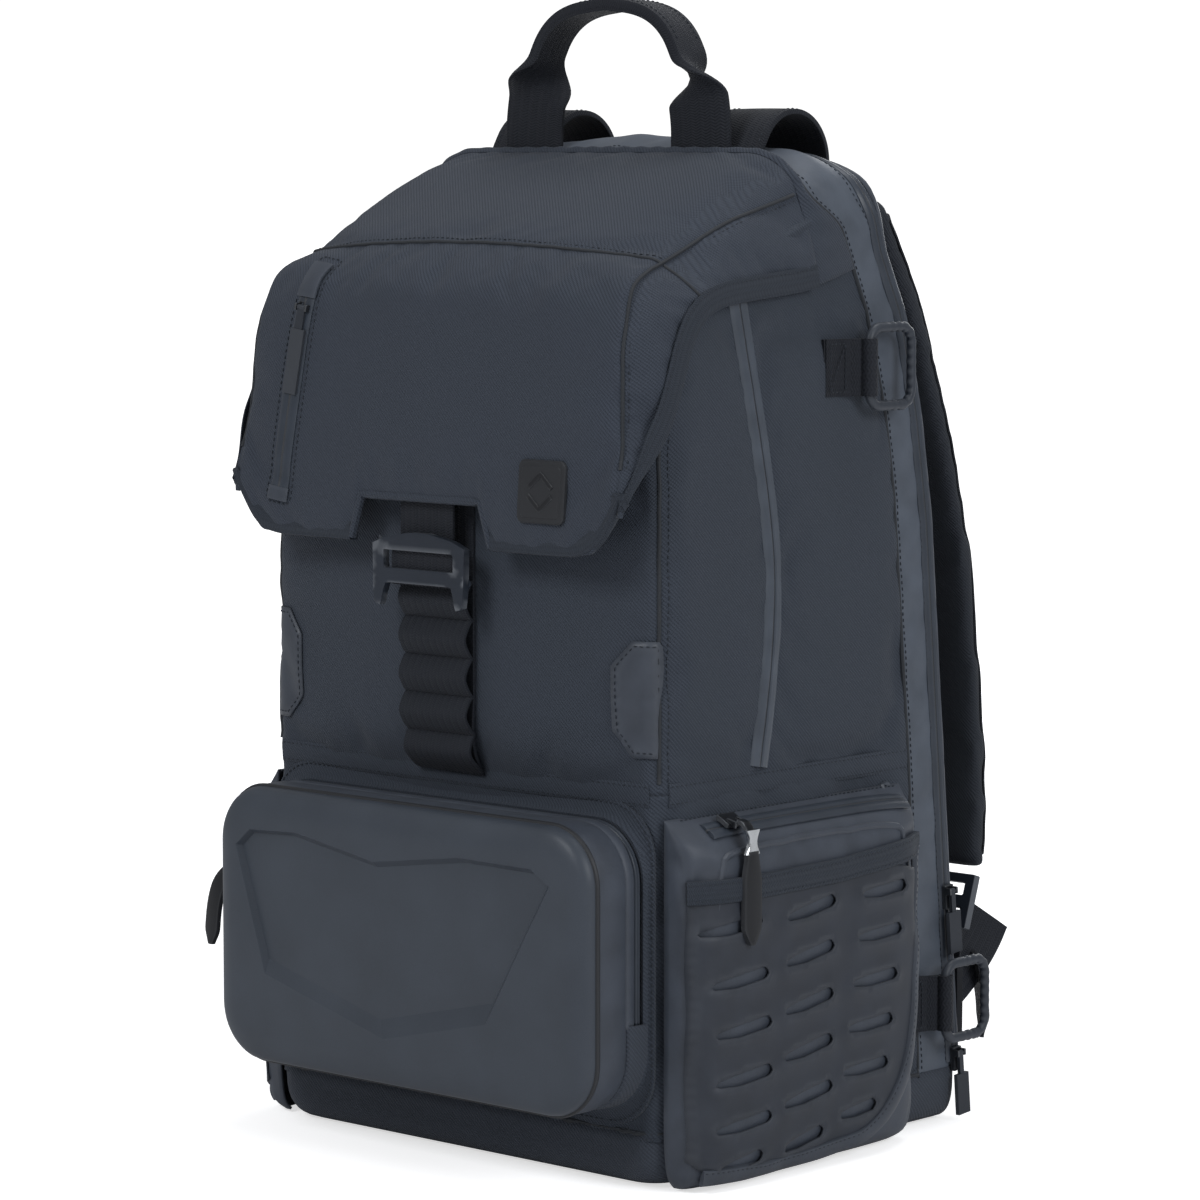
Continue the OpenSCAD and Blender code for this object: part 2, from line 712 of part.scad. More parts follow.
module side_pocket_pull_right() { color(metal) pocket_pull(); }
module side_pocket_pull_left() { color(metal) left() pocket_pull(); }
side_run = side_zip_line[1] - side_zip_line[0];
side_lean = atan(-side_run[0] / side_run[1]);
side_slider_p = side_zip_line[0] + 12 * unit(side_run);
module side_slider() {
    on_side(half_w + side_zip_t, side_slider_p, side_lean) {
        block([-4.5, 4.5], [-12, 2], [0.2, 2.8]);
        block([-3, 3], [-26, -11], [1, 2.8]);
    }
}
module side_slider_right() { color(plastic) side_slider(); }
module side_slider_left() { color(plastic) left() side_slider(); }
module rear_slider_upper() { color(plastic) on_rear_zip(rear_upper_z) slider(7); }
module rear_pull_upper() { color(plastic) on_rear_zip(rear_upper_z) pull(7, rear_pull_len); }
module rear_slider_lower() { color(plastic) on_rear_zip(rear_lower_z) slider(7); }
module rear_pull_lower() { color(plastic) on_rear_zip(rear_lower_z) pull(7, rear_pull_len); }

front_panel();
lower_front_panel();
side_panel_right();
side_panel_left();
base_panel();
top_collar();
rear_gusset();
rear_zip();
belt_seam();
daisy_chain();
side_zips();
side_pocket_right();
side_pocket_left();
slotted_panel_right();
slotted_panel_left();
side_pocket_zips();
corner_patches();
ring_tabs();
shelf();
padded_dividers();
pocket_base();
organiser_panel();
lid_shell();
lid_binding();
lid_zip();
lid_badge();
lid_strap();
hook_buckle();
hard_shell();
pocket_gusset();
front_zip();
back_panel();
back_pads();
lower_webbing();
strap_bands();
shoulder_strap_right();
shoulder_strap_left();
strap_adjuster_right();
strap_adjuster_left();
chest_strap_right();
chest_strap_left();
carry_handle();
ring_upper_right();
ring_upper_left();
ring_lower_right();
ring_lower_left();
lid_slider();
front_slider();
side_pocket_slider_right();
side_pocket_slider_left();
side_slider_right();
side_slider_left();
rear_slider_upper();
rear_slider_lower();
lid_pull();
front_pull();
side_pocket_pull_right();
side_pocket_pull_left();
rear_pull_upper();
rear_pull_lower();
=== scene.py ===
"""A backpack-style drone case: its cloth, trims and hardware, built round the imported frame.
Lengths in this script are millimetres in the row frame, and MM turns them into metres."""
import math

import bmesh
import bpy
import numpy as np
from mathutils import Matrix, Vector
from mathutils.bvhtree import BVHTree
from mathutils.geometry import delaunay_2d_cdt


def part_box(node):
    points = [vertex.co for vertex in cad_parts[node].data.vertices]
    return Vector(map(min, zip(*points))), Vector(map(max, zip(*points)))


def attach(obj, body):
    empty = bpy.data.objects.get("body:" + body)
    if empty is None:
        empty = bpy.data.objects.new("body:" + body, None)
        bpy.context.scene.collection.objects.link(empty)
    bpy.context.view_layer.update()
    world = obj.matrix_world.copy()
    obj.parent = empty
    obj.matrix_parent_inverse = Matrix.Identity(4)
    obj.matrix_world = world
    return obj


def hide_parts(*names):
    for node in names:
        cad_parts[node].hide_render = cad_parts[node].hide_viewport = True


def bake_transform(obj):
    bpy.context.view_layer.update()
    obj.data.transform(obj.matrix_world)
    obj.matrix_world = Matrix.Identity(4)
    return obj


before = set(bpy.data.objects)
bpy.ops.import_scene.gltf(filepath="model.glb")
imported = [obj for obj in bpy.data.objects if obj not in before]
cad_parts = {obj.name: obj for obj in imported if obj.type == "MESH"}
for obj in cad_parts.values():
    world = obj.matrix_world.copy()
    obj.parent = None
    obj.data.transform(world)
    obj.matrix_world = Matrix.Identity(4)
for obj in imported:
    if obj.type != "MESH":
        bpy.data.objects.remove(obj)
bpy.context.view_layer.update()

MM = 0.001
UP = np.array([0.0, 0.0, 1.0])
FORWARD = np.array([0.0, 1.0, 0.0])
LEFTWARD = np.array([-1.0, 0.0, 0.0])


def box(node):
    low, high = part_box(node)
    return np.array(low) / MM, np.array(high) / MM


def tree_of(verts, faces):
    return BVHTree.FromPolygons([Vector(v) for v in verts], faces)


cad_trees = {}


def cad_hit(node, origin, direction):
    """Where a ray first meets a CAD node."""
    if node not in cad_trees:
        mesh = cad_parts[node].data
        cad_trees[node] = tree_of([v.co / MM for v in mesh.vertices], [tuple(p.vertices) for p in mesh.polygons])
    hit = cad_trees[node].ray_cast(Vector(origin), Vector(direction))[0]
    if hit is None:
        raise RuntimeError(f"no surface of {node} from {list(origin)} along {list(direction)}")
    return np.array(hit)


HALF_W = box("side_panel_right")[1][0]
FRONT = box("front_panel")[0][1]
BASE_H = box("base_panel")[1][2]
BELT_Z = (box("belt_seam")[0][2] + box("belt_seam")[1][2]) / 2


def seam_y(z):
    """Where the side panel meets the rear gusset."""
    return cad_hit("side_panel_right", (HALF_W - 5, 400, min(max(z, BASE_H + 0.5), 502)), (0, -1, 0))[1]


def zip_y(z):
    """Where the body's rear edge is."""
    return cad_hit("rear_gusset", (HALF_W - 2, 400, min(max(z, BASE_H + 0.5), 485)), (0, -1, 0))[1]


# ---- materials ----

class Shader:
    """Builds one node material; its methods return sockets."""

    def __init__(self, name):
        self.material = bpy.data.materials.new(name)
        self.material.use_nodes = True
        self.tree = self.material.node_tree
        self.tree.nodes.clear()

    def node(self, kind, inputs=None, **settings):
        made = self.tree.nodes.new("ShaderNode" + kind)
        for key, value in settings.items():
            setattr(made, key, value)
        for key, value in (inputs or {}).items():
            self.put(made.inputs[key], value)
        return made

    def put(self, socket, value):
        if isinstance(value, bpy.types.NodeSocket):
            self.tree.links.new(value, socket)
        else:
            socket.default_value = value

    def math(self, operation, a, b=0.0):
        return self.node("Math", {0: a, 1: b}, operation=operation).outputs[0]

    def wave(self, x, pitch):
        """A rounded ridge that repeats every pitch."""
        return self.math("ABSOLUTE", self.math("SINE", self.math("MULTIPLY", x, math.pi / pitch)))

    def noise(self, vector, size, detail=3.0):
        """Noise between 0 and 1, with blobs of about that size in millimetres."""
        return self.node("TexNoise", {"Vector": vector, "Scale": 1 / (size * MM), "Detail": detail}).outputs["Fac"]

    def surface(self):
        """Flat coordinates in millimetres across the surface, whichever way it faces."""
        where = self.node("TexCoord")
        place = self.node("SeparateXYZ", {0: where.outputs["Object"]}).outputs
        facing = self.node("SeparateXYZ", {0: where.outputs["Normal"]}).outputs
        sideways = self.math("GREATER_THAN", self.math("ABSOLUTE", facing[0]), 0.7)
        level = self.math("GREATER_THAN", self.math("ABSOLUTE", facing[2]), 0.75)
        across = self.blend(place[0], place[1], sideways)
        along = self.blend(place[2], place[1], level)
        return self.math("MULTIPLY", across, 1 / MM), self.math("MULTIPLY", along, 1 / MM), where.outputs["Object"]

    def strip(self):
        """Along and across coordinates in millimetres from a strip's own UV map."""
        where = self.node("TexCoord")
        uv = self.node("SeparateXYZ", {0: where.outputs["UV"]}).outputs
        return self.math("MULTIPLY", uv[0], 1 / MM), self.math("MULTIPLY", uv[1], 1 / MM), where.outputs["Object"]

    def blend(self, a, b, t):
        return self.math("ADD", self.math("MULTIPLY", a, self.math("SUBTRACT", 1.0, t)), self.math("MULTIPLY", b, t))

    def finish(self, colour, light, roughness, height, depth, sheen=0.0, metallic=0.0, worn=0.0, coat=0.0,
               specular=0.3):
        """light is a 0-1 socket that lifts the colour; height is a 0-1 socket raised by depth millimetres."""
        low = tuple(c * 0.62 for c in colour) + (1,)
        high = tuple(min(1, c * 1.4) for c in colour) + (1,)
        tint = self.node("Mix", {0: light, 6: low, 7: high}, data_type="RGBA").outputs[2]
        if worn:
            edge = self.node("NewGeometry").outputs["Pointiness"]
            edge = self.node("MapRange", {0: edge, 1: 0.52, 2: 0.62}).outputs[0]
            tint = self.node("Mix", {0: self.math("MULTIPLY", edge, worn), 6: tint, 7: (0.35, 0.37, 0.40, 1)},
                             data_type="RGBA").outputs[2]
        bump = self.node("Bump", {"Height": height, "Distance": depth * MM, "Strength": 1.0}).outputs[0]
        shade = self.node("BsdfPrincipled", {
            "Base Color": tint, "Roughness": roughness, "Normal": bump, "Metallic": metallic,
            "Sheen Weight": sheen, "Sheen Roughness": 0.45, "Coat Weight": coat, "Coat Roughness": 0.35,
            "Specular IOR Level": specular})
        out = self.node("OutputMaterial")
        self.put(out.inputs[0], shade.outputs[0])
        return self.material


def woven(name, colour, pitch=2.2, depth=0.42, sheen=0.07):
    """Twill: fine diagonal ribs broken by the weft, with threads that differ a little."""
    s = Shader(name)
    u, v, place = s.surface()
    rib = s.wave(s.math("ADD", u, v), pitch)
    cross = s.wave(s.math("SUBTRACT", u, s.math("MULTIPLY", v, 0.8)), pitch * 0.62)
    height = s.math("ADD", s.math("MULTIPLY", rib, 0.65), s.math("MULTIPLY", cross, 0.35))
    thread = s.noise(place, 1.1, 1.0)
    patch = s.noise(place, 60, 4.0)
    light = s.math("ADD", s.math("MULTIPLY", height, 0.55),
                   s.math("ADD", s.math("MULTIPLY", thread, 0.2), s.math("MULTIPLY", patch, 0.25)))
    rough = s.math("ADD", 0.58, s.math("MULTIPLY", patch, 0.2))
    return s.finish(colour, light, rough, height, depth, sheen, specular=0.15)


def coated(name, colour, roughness=0.42, grain=1.4, depth=0.1):
    """Smooth coated cloth: a fine pebble grain, soft creases and a low sheen."""
    s = Shader(name)
    _, _, place = s.surface()
    pebble = s.node("TexVoronoi", {"Vector": place, "Scale": 1 / (grain * MM)}).outputs["Distance"]
    crease = s.noise(place, 18, 5.0)
    height = s.math("ADD", s.math("MULTIPLY", pebble, 0.4), crease)
    rough = s.math("ADD", roughness, s.math("MULTIPLY", crease, 0.16))
    return s.finish(colour, crease, rough, height, depth, 0.03, worn=0.06, specular=0.35)


def webbing(name, colour, pitch=1.5):
    """Ribbed webbing: weft ribs across the strip that lean to and fro between its warp columns."""
    s = Shader(name)
    u, v, place = s.strip()
    column = s.math("PINGPONG", v, 2.4)
    rib = s.wave(s.math("ADD", u, s.math("MULTIPLY", column, 0.55)), pitch)
    warp = s.wave(v, 2.4)
    height = s.math("ADD", s.math("MULTIPLY", rib, 0.7), s.math("MULTIPLY", warp, 0.3))
    fibre = s.noise(place, 0.8, 2.0)
    light = s.math("ADD", s.math("MULTIPLY", height, 0.6), s.math("MULTIPLY", fibre, 0.4))
    return s.finish(colour, light, 0.62, height, 0.3, 0.06, specular=0.15)


def moulded(name, colour, roughness=0.5, grain=0.7, depth=0.05, worn=0.25, metallic=0.0, coat=0.0):
    """Moulded plastic, rubber or cast metal: fine grain, broad unevenness and rubbed edges."""
    s = Shader(name)
    _, _, place = s.surface()
    fine = s.noise(place, grain, 2.0)
    broad = s.noise(place, 35, 4.0)
    rough = s.math("ADD", roughness - 0.06, s.math("MULTIPLY", broad, 0.12))
    return s.finish(colour, s.math("ADD", s.math("MULTIPLY", fine, 0.3), s.math("MULTIPLY", broad, 0.5)),
                    rough, fine, depth, 0.0, metallic, worn, coat)


def mesh_cloth(name, colour):
    """Spacer mesh: staggered round holes."""
    s = Shader(name)
    u, v, place = s.surface()
    a = s.wave(u, 3.2)
    b = s.wave(s.math("ADD", v, s.math("MULTIPLY", u, 0.5)), 3.2)
    height = s.math("POWER", s.math("MAXIMUM", a, b), 2.0)
    light = s.math("ADD", s.math("MULTIPLY", height, 0.7), s.math("MULTIPLY", s.noise(place, 20, 3.0), 0.3))
    return s.finish(colour, light, 0.75, height, 0.5, 0.05, specular=0.15)


def threaded(name, colour):
    """Twisted sewing thread."""
    s = Shader(name)
    u, v, place = s.surface()
    twist = s.wave(s.math("ADD", u, v), 0.5)
    return s.finish(colour, s.noise(place, 6, 2.0), 0.55, twist, 0.05, 0.05, specular=0.2)


TWILL = woven("twill_cloth", (0.038, 0.046, 0.061))
LID_TWILL = woven("lid_twill_cloth", (0.039, 0.047, 0.063), 2.1)
# The base cloth is coloured lighter than the body's twill: painted light that lifts the shade the front pocket casts on
# the base.
BASE_CLOTH_PAINTED_LIGHT = woven("base_cloth", (0.046, 0.054, 0.070), 2.4, 0.4)
BACK_CLOTH = woven("back_cloth", (0.020, 0.024, 0.031), 1.9)
STRAP_CLOTH = woven("strap_cloth", (0.024, 0.028, 0.036), 1.8)
LINING = woven("lining_knit", (0.085, 0.092, 0.105), 1.2, 0.12, 0.1)
COATED = coated("coated_cloth", (0.047, 0.056, 0.074))
WELT = coated("welt_cloth", (0.042, 0.050, 0.066), 0.36)
BINDING = webbing("binding_tape", (0.028, 0.034, 0.045), 1.2)
LAMINATE = coated("slotted_laminate", (0.025, 0.030, 0.041), 0.46, 0.9, 0.06)
SHELL = moulded("moulded_shell", (0.050, 0.060, 0.077), 0.44, 0.6, 0.035, 0.1)
WEBBING = webbing("dark_webbing", (0.0155, 0.0175, 0.023))
CHAIN_WEBBING = webbing("chain_webbing", (0.0155, 0.018, 0.024), 1.3)
ZIP_TAPE = coated("zip_tape", (0.029, 0.037, 0.051), 0.3, 1.0, 0.04)
# The side zips' tape is glossy, and it is also coloured lighter than the other zip tape as a painted highlight.
GLOSSY_TAPE_PAINTED_HIGHLIGHT = coated("glossy_zip_tape_painted_highlight", (0.056, 0.068, 0.088), 0.26, 1.0, 0.06)
# The rear gusset's cloth is coloured lighter than the other coated cloth: painted light for the light the gusset
# catches from the right and back.
GUSSET_PAINTED_LIGHT = coated("gusset_painted_light_cloth", (0.072, 0.086, 0.110))
# The seam beads are coloured near black: painted shade of the grooves along the seams.
SEAM_PAINTED_SHADE = coated("seam_painted_shade_cloth", (0.013, 0.016, 0.021), 0.6)
COIL = moulded("zip_coil", (0.012, 0.013, 0.016), 0.5)
HARD = moulded("hard_plastic", (0.023, 0.029, 0.041), 0.42)
RUBBER = moulded("soft_rubber", (0.030, 0.035, 0.045), 0.58, 0.5, 0.05, 0.1)
BLACK_RUBBER = moulded("black_rubber", (0.012, 0.013, 0.016), 0.5, 0.5, 0.05, 0.1)
SLIDER = moulded("slider_enamel", (0.016, 0.018, 0.022), 0.32, 0.6, 0.02, 0.35, 0.5)
STEEL = moulded("bright_metal", (0.62, 0.64, 0.66), 0.24, 0.5, 0.01, 0.0, 1.0)
AIR_MESH = mesh_cloth("air_mesh", (0.017, 0.019, 0.024))
THREAD = threaded("thread", (0.024, 0.029, 0.038))


# ---- mesh building ----

def unit(v):
    v = np.asarray(v, float)
    return v / np.maximum(np.linalg.norm(v, axis=-1, keepdims=True), 1e-9)


def smoothstep(x, a, b):
    t = np.clip((np.asarray(x, float) - a) / (b - a), 0, 1)
    return t * t * (3 - 2 * t)


def resample(points, step=None, count=None):
    """Evenly spaced points along a polyline."""
    points = np.asarray(points, float)
    length = np.concatenate([[0], np.cumsum(np.linalg.norm(np.diff(points, axis=0), axis=1))])
    count = count or max(2, int(round(length[-1] / step)) + 1)
    at = np.linspace(0, length[-1], count)
    return np.stack([np.interp(at, length, points[:, k]) for k in range(points.shape[1])], 1)


def smooth_path(points, step, rounds=3):
    """A polyline with its corners rounded off, evenly spaced."""
    points = np.asarray(points, float)
    for _ in range(rounds):
        a, b = points[:-1], points[1:]
        cut = np.stack([a * 0.75 + b * 0.25, a * 0.25 + b * 0.75], 1).reshape(-1, points.shape[1])
        points = np.concatenate([points[:1], cut, points[-1:]])
    return resample(points, step)


def lattice(rings, closed_u=False, closed_v=False):
    """(verts, faces, uvs) of a grid of points; the UVs are lengths in metres along and across it."""
    rings = np.asarray(rings, float)
    n, m = rings.shape[:2]
    along = np.linalg.norm(np.diff(rings, axis=0, append=rings[:1]), axis=2).mean(1)
    across = np.linalg.norm(np.diff(rings, axis=1, append=rings[:, :1]), axis=2).mean(0)
    u = np.concatenate([[0], np.cumsum(along)]) * MM
    v = np.concatenate([[0], np.cumsum(across)]) * MM
    faces, uvs = [], []
    for i in range(n if closed_u else n - 1):
        for j in range(m if closed_v else m - 1):
            a, b = i * m, ((i + 1) % n) * m
            k = (j + 1) % m
            faces.append((a + j, b + j, b + k, a + k))
            uvs += [(u[i], v[j]), (u[i + 1], v[j]), (u[i + 1], v[j + 1]), (u[i], v[j + 1])]
    return rings.reshape(-1, 3), faces, uvs


def sweep(path, normals, profile, closed=False, widths=None):
    """A closed profile of (across, up) points carried along a path on a surface with these normals."""
    path = np.asarray(path, float)
    normals = np.broadcast_to(np.asarray(normals, float), path.shape)
    tangent = unit(np.roll(path, -1, 0) - np.roll(path, 1, 0)) if closed else unit(np.gradient(path, axis=0))
    side = unit(np.cross(tangent, normals))
    up = np.cross(side, tangent)
    profile = np.asarray(profile, float)
    widths = np.ones(len(path)) if widths is None else np.asarray(widths, float)
    rings = (path[:, None] + side[:, None] * (profile[None, :, :1] * widths[:, None, None])
             + up[:, None] * profile[None, :, 1:])
    verts, faces, uvs = lattice(rings, closed, True)
    if not closed:
        m = len(profile)
        first, last = list(range(m)), list(range((len(path) - 1) * m, len(path) * m))
        faces += [tuple(first[::-1]), tuple(last)]
        uvs += [(0, 0)] * (2 * m)
    return verts, faces, uvs


def mirrored(part):
    verts, faces, uvs = part
    flipped, at = [], 0
    for face in faces:
        flipped += uvs[at:at + len(face)][::-1]
        at += len(face)
    return verts * [-1, 1, 1], [face[::-1] for face in faces], flipped


def joined(parts):
    verts, faces, uvs, at = [], [], [], 0
    for v, f, t in parts:
        verts.append(v)
        faces += [tuple(i + at for i in face) for face in f]
        uvs += list(t)
        at += len(v)
    return np.concatenate(verts), faces, uvs


def make(name, parts, material, body, replaces=(), open_sheet=False, sharp=38, inner=None):
    """One piece from one part or a list of them. Closed parts get outward normals here."""
    verts, faces, uvs = joined(parts if isinstance(parts, list) else [parts])
    mesh = bpy.data.meshes.new(name)
    mesh.from_pydata([tuple(v) for v in verts * MM], [], faces)
    layer = mesh.uv_layers.new(name="along_across")
    layer.data.foreach_set("uv", np.asarray(uvs, np.float32).ravel())
    if not open_sheet:
        shape = bmesh.new()
        shape.from_mesh(mesh)
        bmesh.ops.recalc_face_normals(shape, faces=shape.faces)
        shape.to_mesh(mesh)
        shape.free()
    mesh.polygons.foreach_set("use_smooth", [True] * len(mesh.polygons))
    mesh.set_sharp_from_angle(angle=math.radians(sharp))
    piece = bpy.data.objects.new(name, mesh)
    bpy.context.scene.collection.objects.link(piece)
    mesh.materials.append(material)
    if inner:
        mesh.materials.append(inner)
    if body:
        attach(piece, body)
    if replaces:
        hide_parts(*replaces)
    return piece


def outward(part, centre):
    """The same sheet with its faces turned away from a point."""
    verts, faces, uvs = part
    quads = np.array([verts[list(f[:3])] for f in faces])
    normal = np.cross(quads[:, 1] - quads[:, 0], quads[:, 2] - quads[:, 0])
    if np.sum(normal * (quads.mean(1) - np.asarray(centre, float))) < 0:
        flipped, at = [], 0
        for face in faces:
            flipped += uvs[at:at + len(face)][::-1]
            at += len(face)
        return verts, [f[::-1] for f in faces], flipped
    return part


def bake(piece):
    """Applies a piece's modifiers to its mesh."""
    shown = piece.evaluated_get(bpy.context.evaluated_depsgraph_get())
    mesh = bpy.data.meshes.new_from_object(shown)
    old = piece.data
    piece.modifiers.clear()
    piece.data = mesh
    mesh.name = piece.name
    bpy.data.meshes.remove(old)


def coords(piece):
    return np.array([v.co for v in piece.data.vertices]) / MM


def tree_from(*pieces):
    verts, faces, at = [], [], 0
    for piece in pieces:
        verts.append(coords(piece))
        faces += [tuple(i + at for i in p.vertices) for p in piece.data.polygons]
        at += len(piece.data.vertices)
    return tree_of(np.concatenate(verts), faces)


cloths = []


def cloth(piece, pinned, pressure=3.0, cap=4.0, loose=0.0, stiff=0.4):
    """Marks a sheet for the simulation below: pinned vertices hold, and no point moves more than cap."""
    cloths.append((piece, [int(i) for i in pinned], pressure, cap, loose, stiff))
    return piece


def simulate(frames=20):
    """Inflates every marked sheet together, then keeps the result as its mesh."""
    if not cloths:
        cloths.clear()
        return
    scene = bpy.context.scene
    for piece, pinned, pressure, _, loose, stiff in cloths:
        if pinned:
            group = piece.vertex_groups.new(name="pinned")
            group.add(pinned, 1.0, "REPLACE")
        modifier = piece.modifiers.new("Cloth", "CLOTH")
        settings = modifier.settings
        settings.quality = 5
        settings.mass = 0.3
        settings.tension_stiffness = settings.compression_stiffness = 15
        settings.bending_stiffness = stiff
        settings.use_pressure = True
        settings.uniform_pressure_force = pressure
        settings.effector_weights.gravity = 0
        settings.shrink_min = -loose
        if pinned:
            settings.vertex_group_mass = "pinned"
        modifier.collision_settings.use_self_collision = False
        modifier.point_cache.frame_start = 1
        modifier.point_cache.frame_end = frames
    for number in range(1, frames + 1):
        scene.frame_set(number)
    graph = bpy.context.evaluated_depsgraph_get()
    for piece, pinned, _, cap, _, _ in cloths:
        shown = piece.evaluated_get(graph)
        moved = np.array([v.co for v in shown.data.vertices]) / MM
        rest = coords(piece)
        step = moved - rest
        length = np.linalg.norm(step, axis=1, keepdims=True)
        step *= cap * np.tanh(length / cap) / np.maximum(length, 1e-9)
        piece.modifiers.clear()
        piece.vertex_groups.clear()
        piece.data.vertices.foreach_set("co", ((rest + step) * MM).astype(np.float32).ravel())
        piece.data.update()
    scene.frame_set(1)
    cloths.clear()


def thicken(piece, thickness, levels=1):
    """Subdivides a sheet and gives it a thickness inwards, with its own inner cloth if it has one."""
    if levels:
        smooth = piece.modifiers.new("Smooth", "SUBSURF")
        smooth.levels = smooth.render_levels = levels
        smooth.boundary_smooth = "PRESERVE_CORNERS"
    solid = piece.modifiers.new("Thick", "SOLIDIFY")
    solid.thickness = thickness * MM
    solid.offset = -1
    solid.material_offset = len(piece.data.materials) - 1
    bake(piece)
    return piece


def drape(tree, points, direction, lift=0.0):
    """Points carried along a direction onto a surface, and its normals there, smoothed along the path."""
    direction = np.asarray(direction, float)
    places, normals = [], []
    for p in np.asarray(points, float):
        hit, normal, _, _ = tree.ray_cast(Vector(p - direction * 300), Vector(direction))
        if hit is None:
            hit, normal, _, _ = tree.find_nearest(Vector(p))
        normal = np.array(normal)
        places.append(np.array(hit))
        normals.append(-normal if normal @ direction > 0 else normal)
    places, normals = np.array(places), np.array(normals)
    for _ in range(3):
        soft = normals.copy()
        soft[1:-1] = normals[:-2] + normals[1:-1] + normals[2:]
        normals = unit(soft)
    return places + normals * lift, normals


def offset_path(path, normals, distance):
    """The path moved sideways across its surface."""
    side = unit(np.cross(unit(np.gradient(np.asarray(path, float), axis=0)), normals))
    return np.asarray(path, float) + side * distance


stitching = {}


def stitch(body, path, normals, pitch=3.4, length=2.3, radius=0.36, lift=0.15):
    """A row of sewing stitches along a path. All the stitches of a body become one piece."""
    path = np.asarray(path, float)
    total = np.concatenate([[0], np.cumsum(np.linalg.norm(np.diff(path, axis=0), axis=1))])
    count = int(total[-1] / pitch)
    if count < 1:
        return
    at = (np.arange(count) + 0.5) * total[-1] / count
    normals = np.broadcast_to(np.asarray(normals, float), path.shape)
    centre = np.stack([np.interp(at, total, path[:, k]) for k in range(3)], 1)
    ahead = unit(np.stack([np.interp(at + 0.6, total, path[:, k]) - np.interp(at - 0.6, total, path[:, k])
                           for k in range(3)], 1))
    out = unit(np.stack([np.interp(at, total, normals[:, k]) for k in range(3)], 1))
    side = unit(np.cross(ahead, out))
    out = np.cross(side, ahead)
    centre = centre + out * lift
    rings = [(-0.5, 0.0), (-0.3, 0.8), (0.0, 1.0), (0.3, 0.8), (0.5, 0.0)]
    verts, faces = [], []
    for c, t, s, o in zip(centre, ahead, side, out):
        start = len(verts)
        verts.append(c - t * length / 2 - o * radius)
        for along, fat in rings[1:-1]:
            for k in range(6):
                a = k * math.pi / 3
                verts.append(c + t * along * length + (s * math.cos(a) + o * math.sin(a)) * radius * fat)
        verts.append(c + t * length / 2 - o * radius)
        for k in range(6):
            n = (k + 1) % 6
            faces.append((start, start + 1 + n, start + 1 + k))
            for ring in range(2):
                q = start + 1 + ring * 6
                faces.append((q + k, q + n, q + 6 + n, q + 6 + k))
            faces.append((start + 13 + k, start + 13 + n, start + 19))
    uvs = [(0, 0)] * sum(len(f) for f in faces)
    stitching.setdefault(body, []).append((np.array(verts), faces, uvs))


def flat_profile(width, thick, crown=0.0, sink=0.2):
    """A strip with rounded edges: its top crowned by crown."""
    xs = np.linspace(-1, 1, 9)
    top = [(x * (width / 2 - 0.3), thick + crown * (1 - x * x)) for x in xs]
    return [(-width / 2, -sink), (-width / 2, thick * 0.65)] + top + [(width / 2, thick * 0.65), (width / 2, -sink)]


def zip_profile(width=12.0, lip=1.3):
    """Two coated lips that meet over a hidden coil."""
    w = width / 2
    half = [(w, -0.3), (w, 0.5), (w - 1.2, lip * 0.8), (w * 0.55, lip), (1.3, lip * 1.1), (0.45, lip * 0.8), (0.12, 0.1)]
    return half + [(-x, y) for x, y in reversed(half)]


def round_profile(radius, sink=0.3, count=8):
    return [(radius * math.cos(a), radius * math.sin(a) * 1.0 - sink + radius * 0.3)
            for a in np.linspace(0, 2 * math.pi, count, endpoint=False)]


def cdt_sheet(outline, holes=(), lines=(), step=4.0, clear=None):
    """Triangles over a flat outline with holes and kept lines: (points, triangles)."""
    def inside(p, poly):
        x, y = p[:, 0], p[:, 1]
        hit = np.zeros(len(p), bool)
        for (x0, y0), (x1, y1) in zip(poly, np.roll(poly, -1, 0)):
            cross = ((y0 > y) != (y1 > y)) & (x < (x1 - x0) * (y - y0) / (y1 - y0 + 1e-12) + x0)
            hit ^= cross
        return hit

    def distance(p, poly, closed=True):
        best = np.full(len(p), 1e9)
        ends = np.roll(poly, -1, 0) if closed else poly[1:]
        for a, b in zip(poly if closed else poly[:-1], ends):
            t = np.clip(((p - a) @ (b - a)) / max((b - a) @ (b - a), 1e-9), 0, 1)
            best = np.minimum(best, np.linalg.norm(p - (a + t[:, None] * (b - a)), axis=1))
        return best

    outline = np.asarray(outline, float)
    holes = [np.asarray(h, float) for h in holes]
    lines = [np.asarray(line, float) for line in lines]
    low, high = outline.min(0), outline.max(0)
    rows = []
    for k, y in enumerate(np.arange(low[1], high[1], step * 0.87)):
        xs = np.arange(low[0] + (k % 2) * step / 2, high[0], step)
        rows.append(np.stack([xs, np.full(len(xs), y)], 1))
    grid = np.concatenate(rows)
    keep = inside(grid, outline) & (distance(grid, outline) > step * 0.5)
    for h in holes:
        keep &= ~inside(grid, h) & (distance(grid, h) > step * 0.45)
    for line in lines:
        keep &= distance(grid, line) > step * 0.45
    if clear is not None:
        keep &= ~clear(grid)
    verts, edges = [], []
    for loop in [outline] + holes + lines:
        start = len(verts)
        verts += [Vector(p) for p in loop]
        edges += [(start + i, start + (i + 1) % len(loop)) for i in range(len(loop))]
    verts += [Vector(p) for p in grid[keep]]
    points, _, triangles, _, _, _ = delaunay_2d_cdt(verts, edges, [], 0, 1e-6)
    points = np.array([tuple(p) for p in points])
    triangles = np.array([tuple(t) for t in triangles if len(t) == 3])
    middle = points[triangles].mean(1)
    keep = inside(middle, outline)
    for h in holes:
        keep &= ~inside(middle, h)
    return points, triangles[keep]


def flat_part(places, triangles, flat):
    uvs = [tuple(flat[i] * MM) for t in triangles for i in t]
    return np.asarray(places, float), [tuple(int(i) for i in t) for t in triangles], uvs


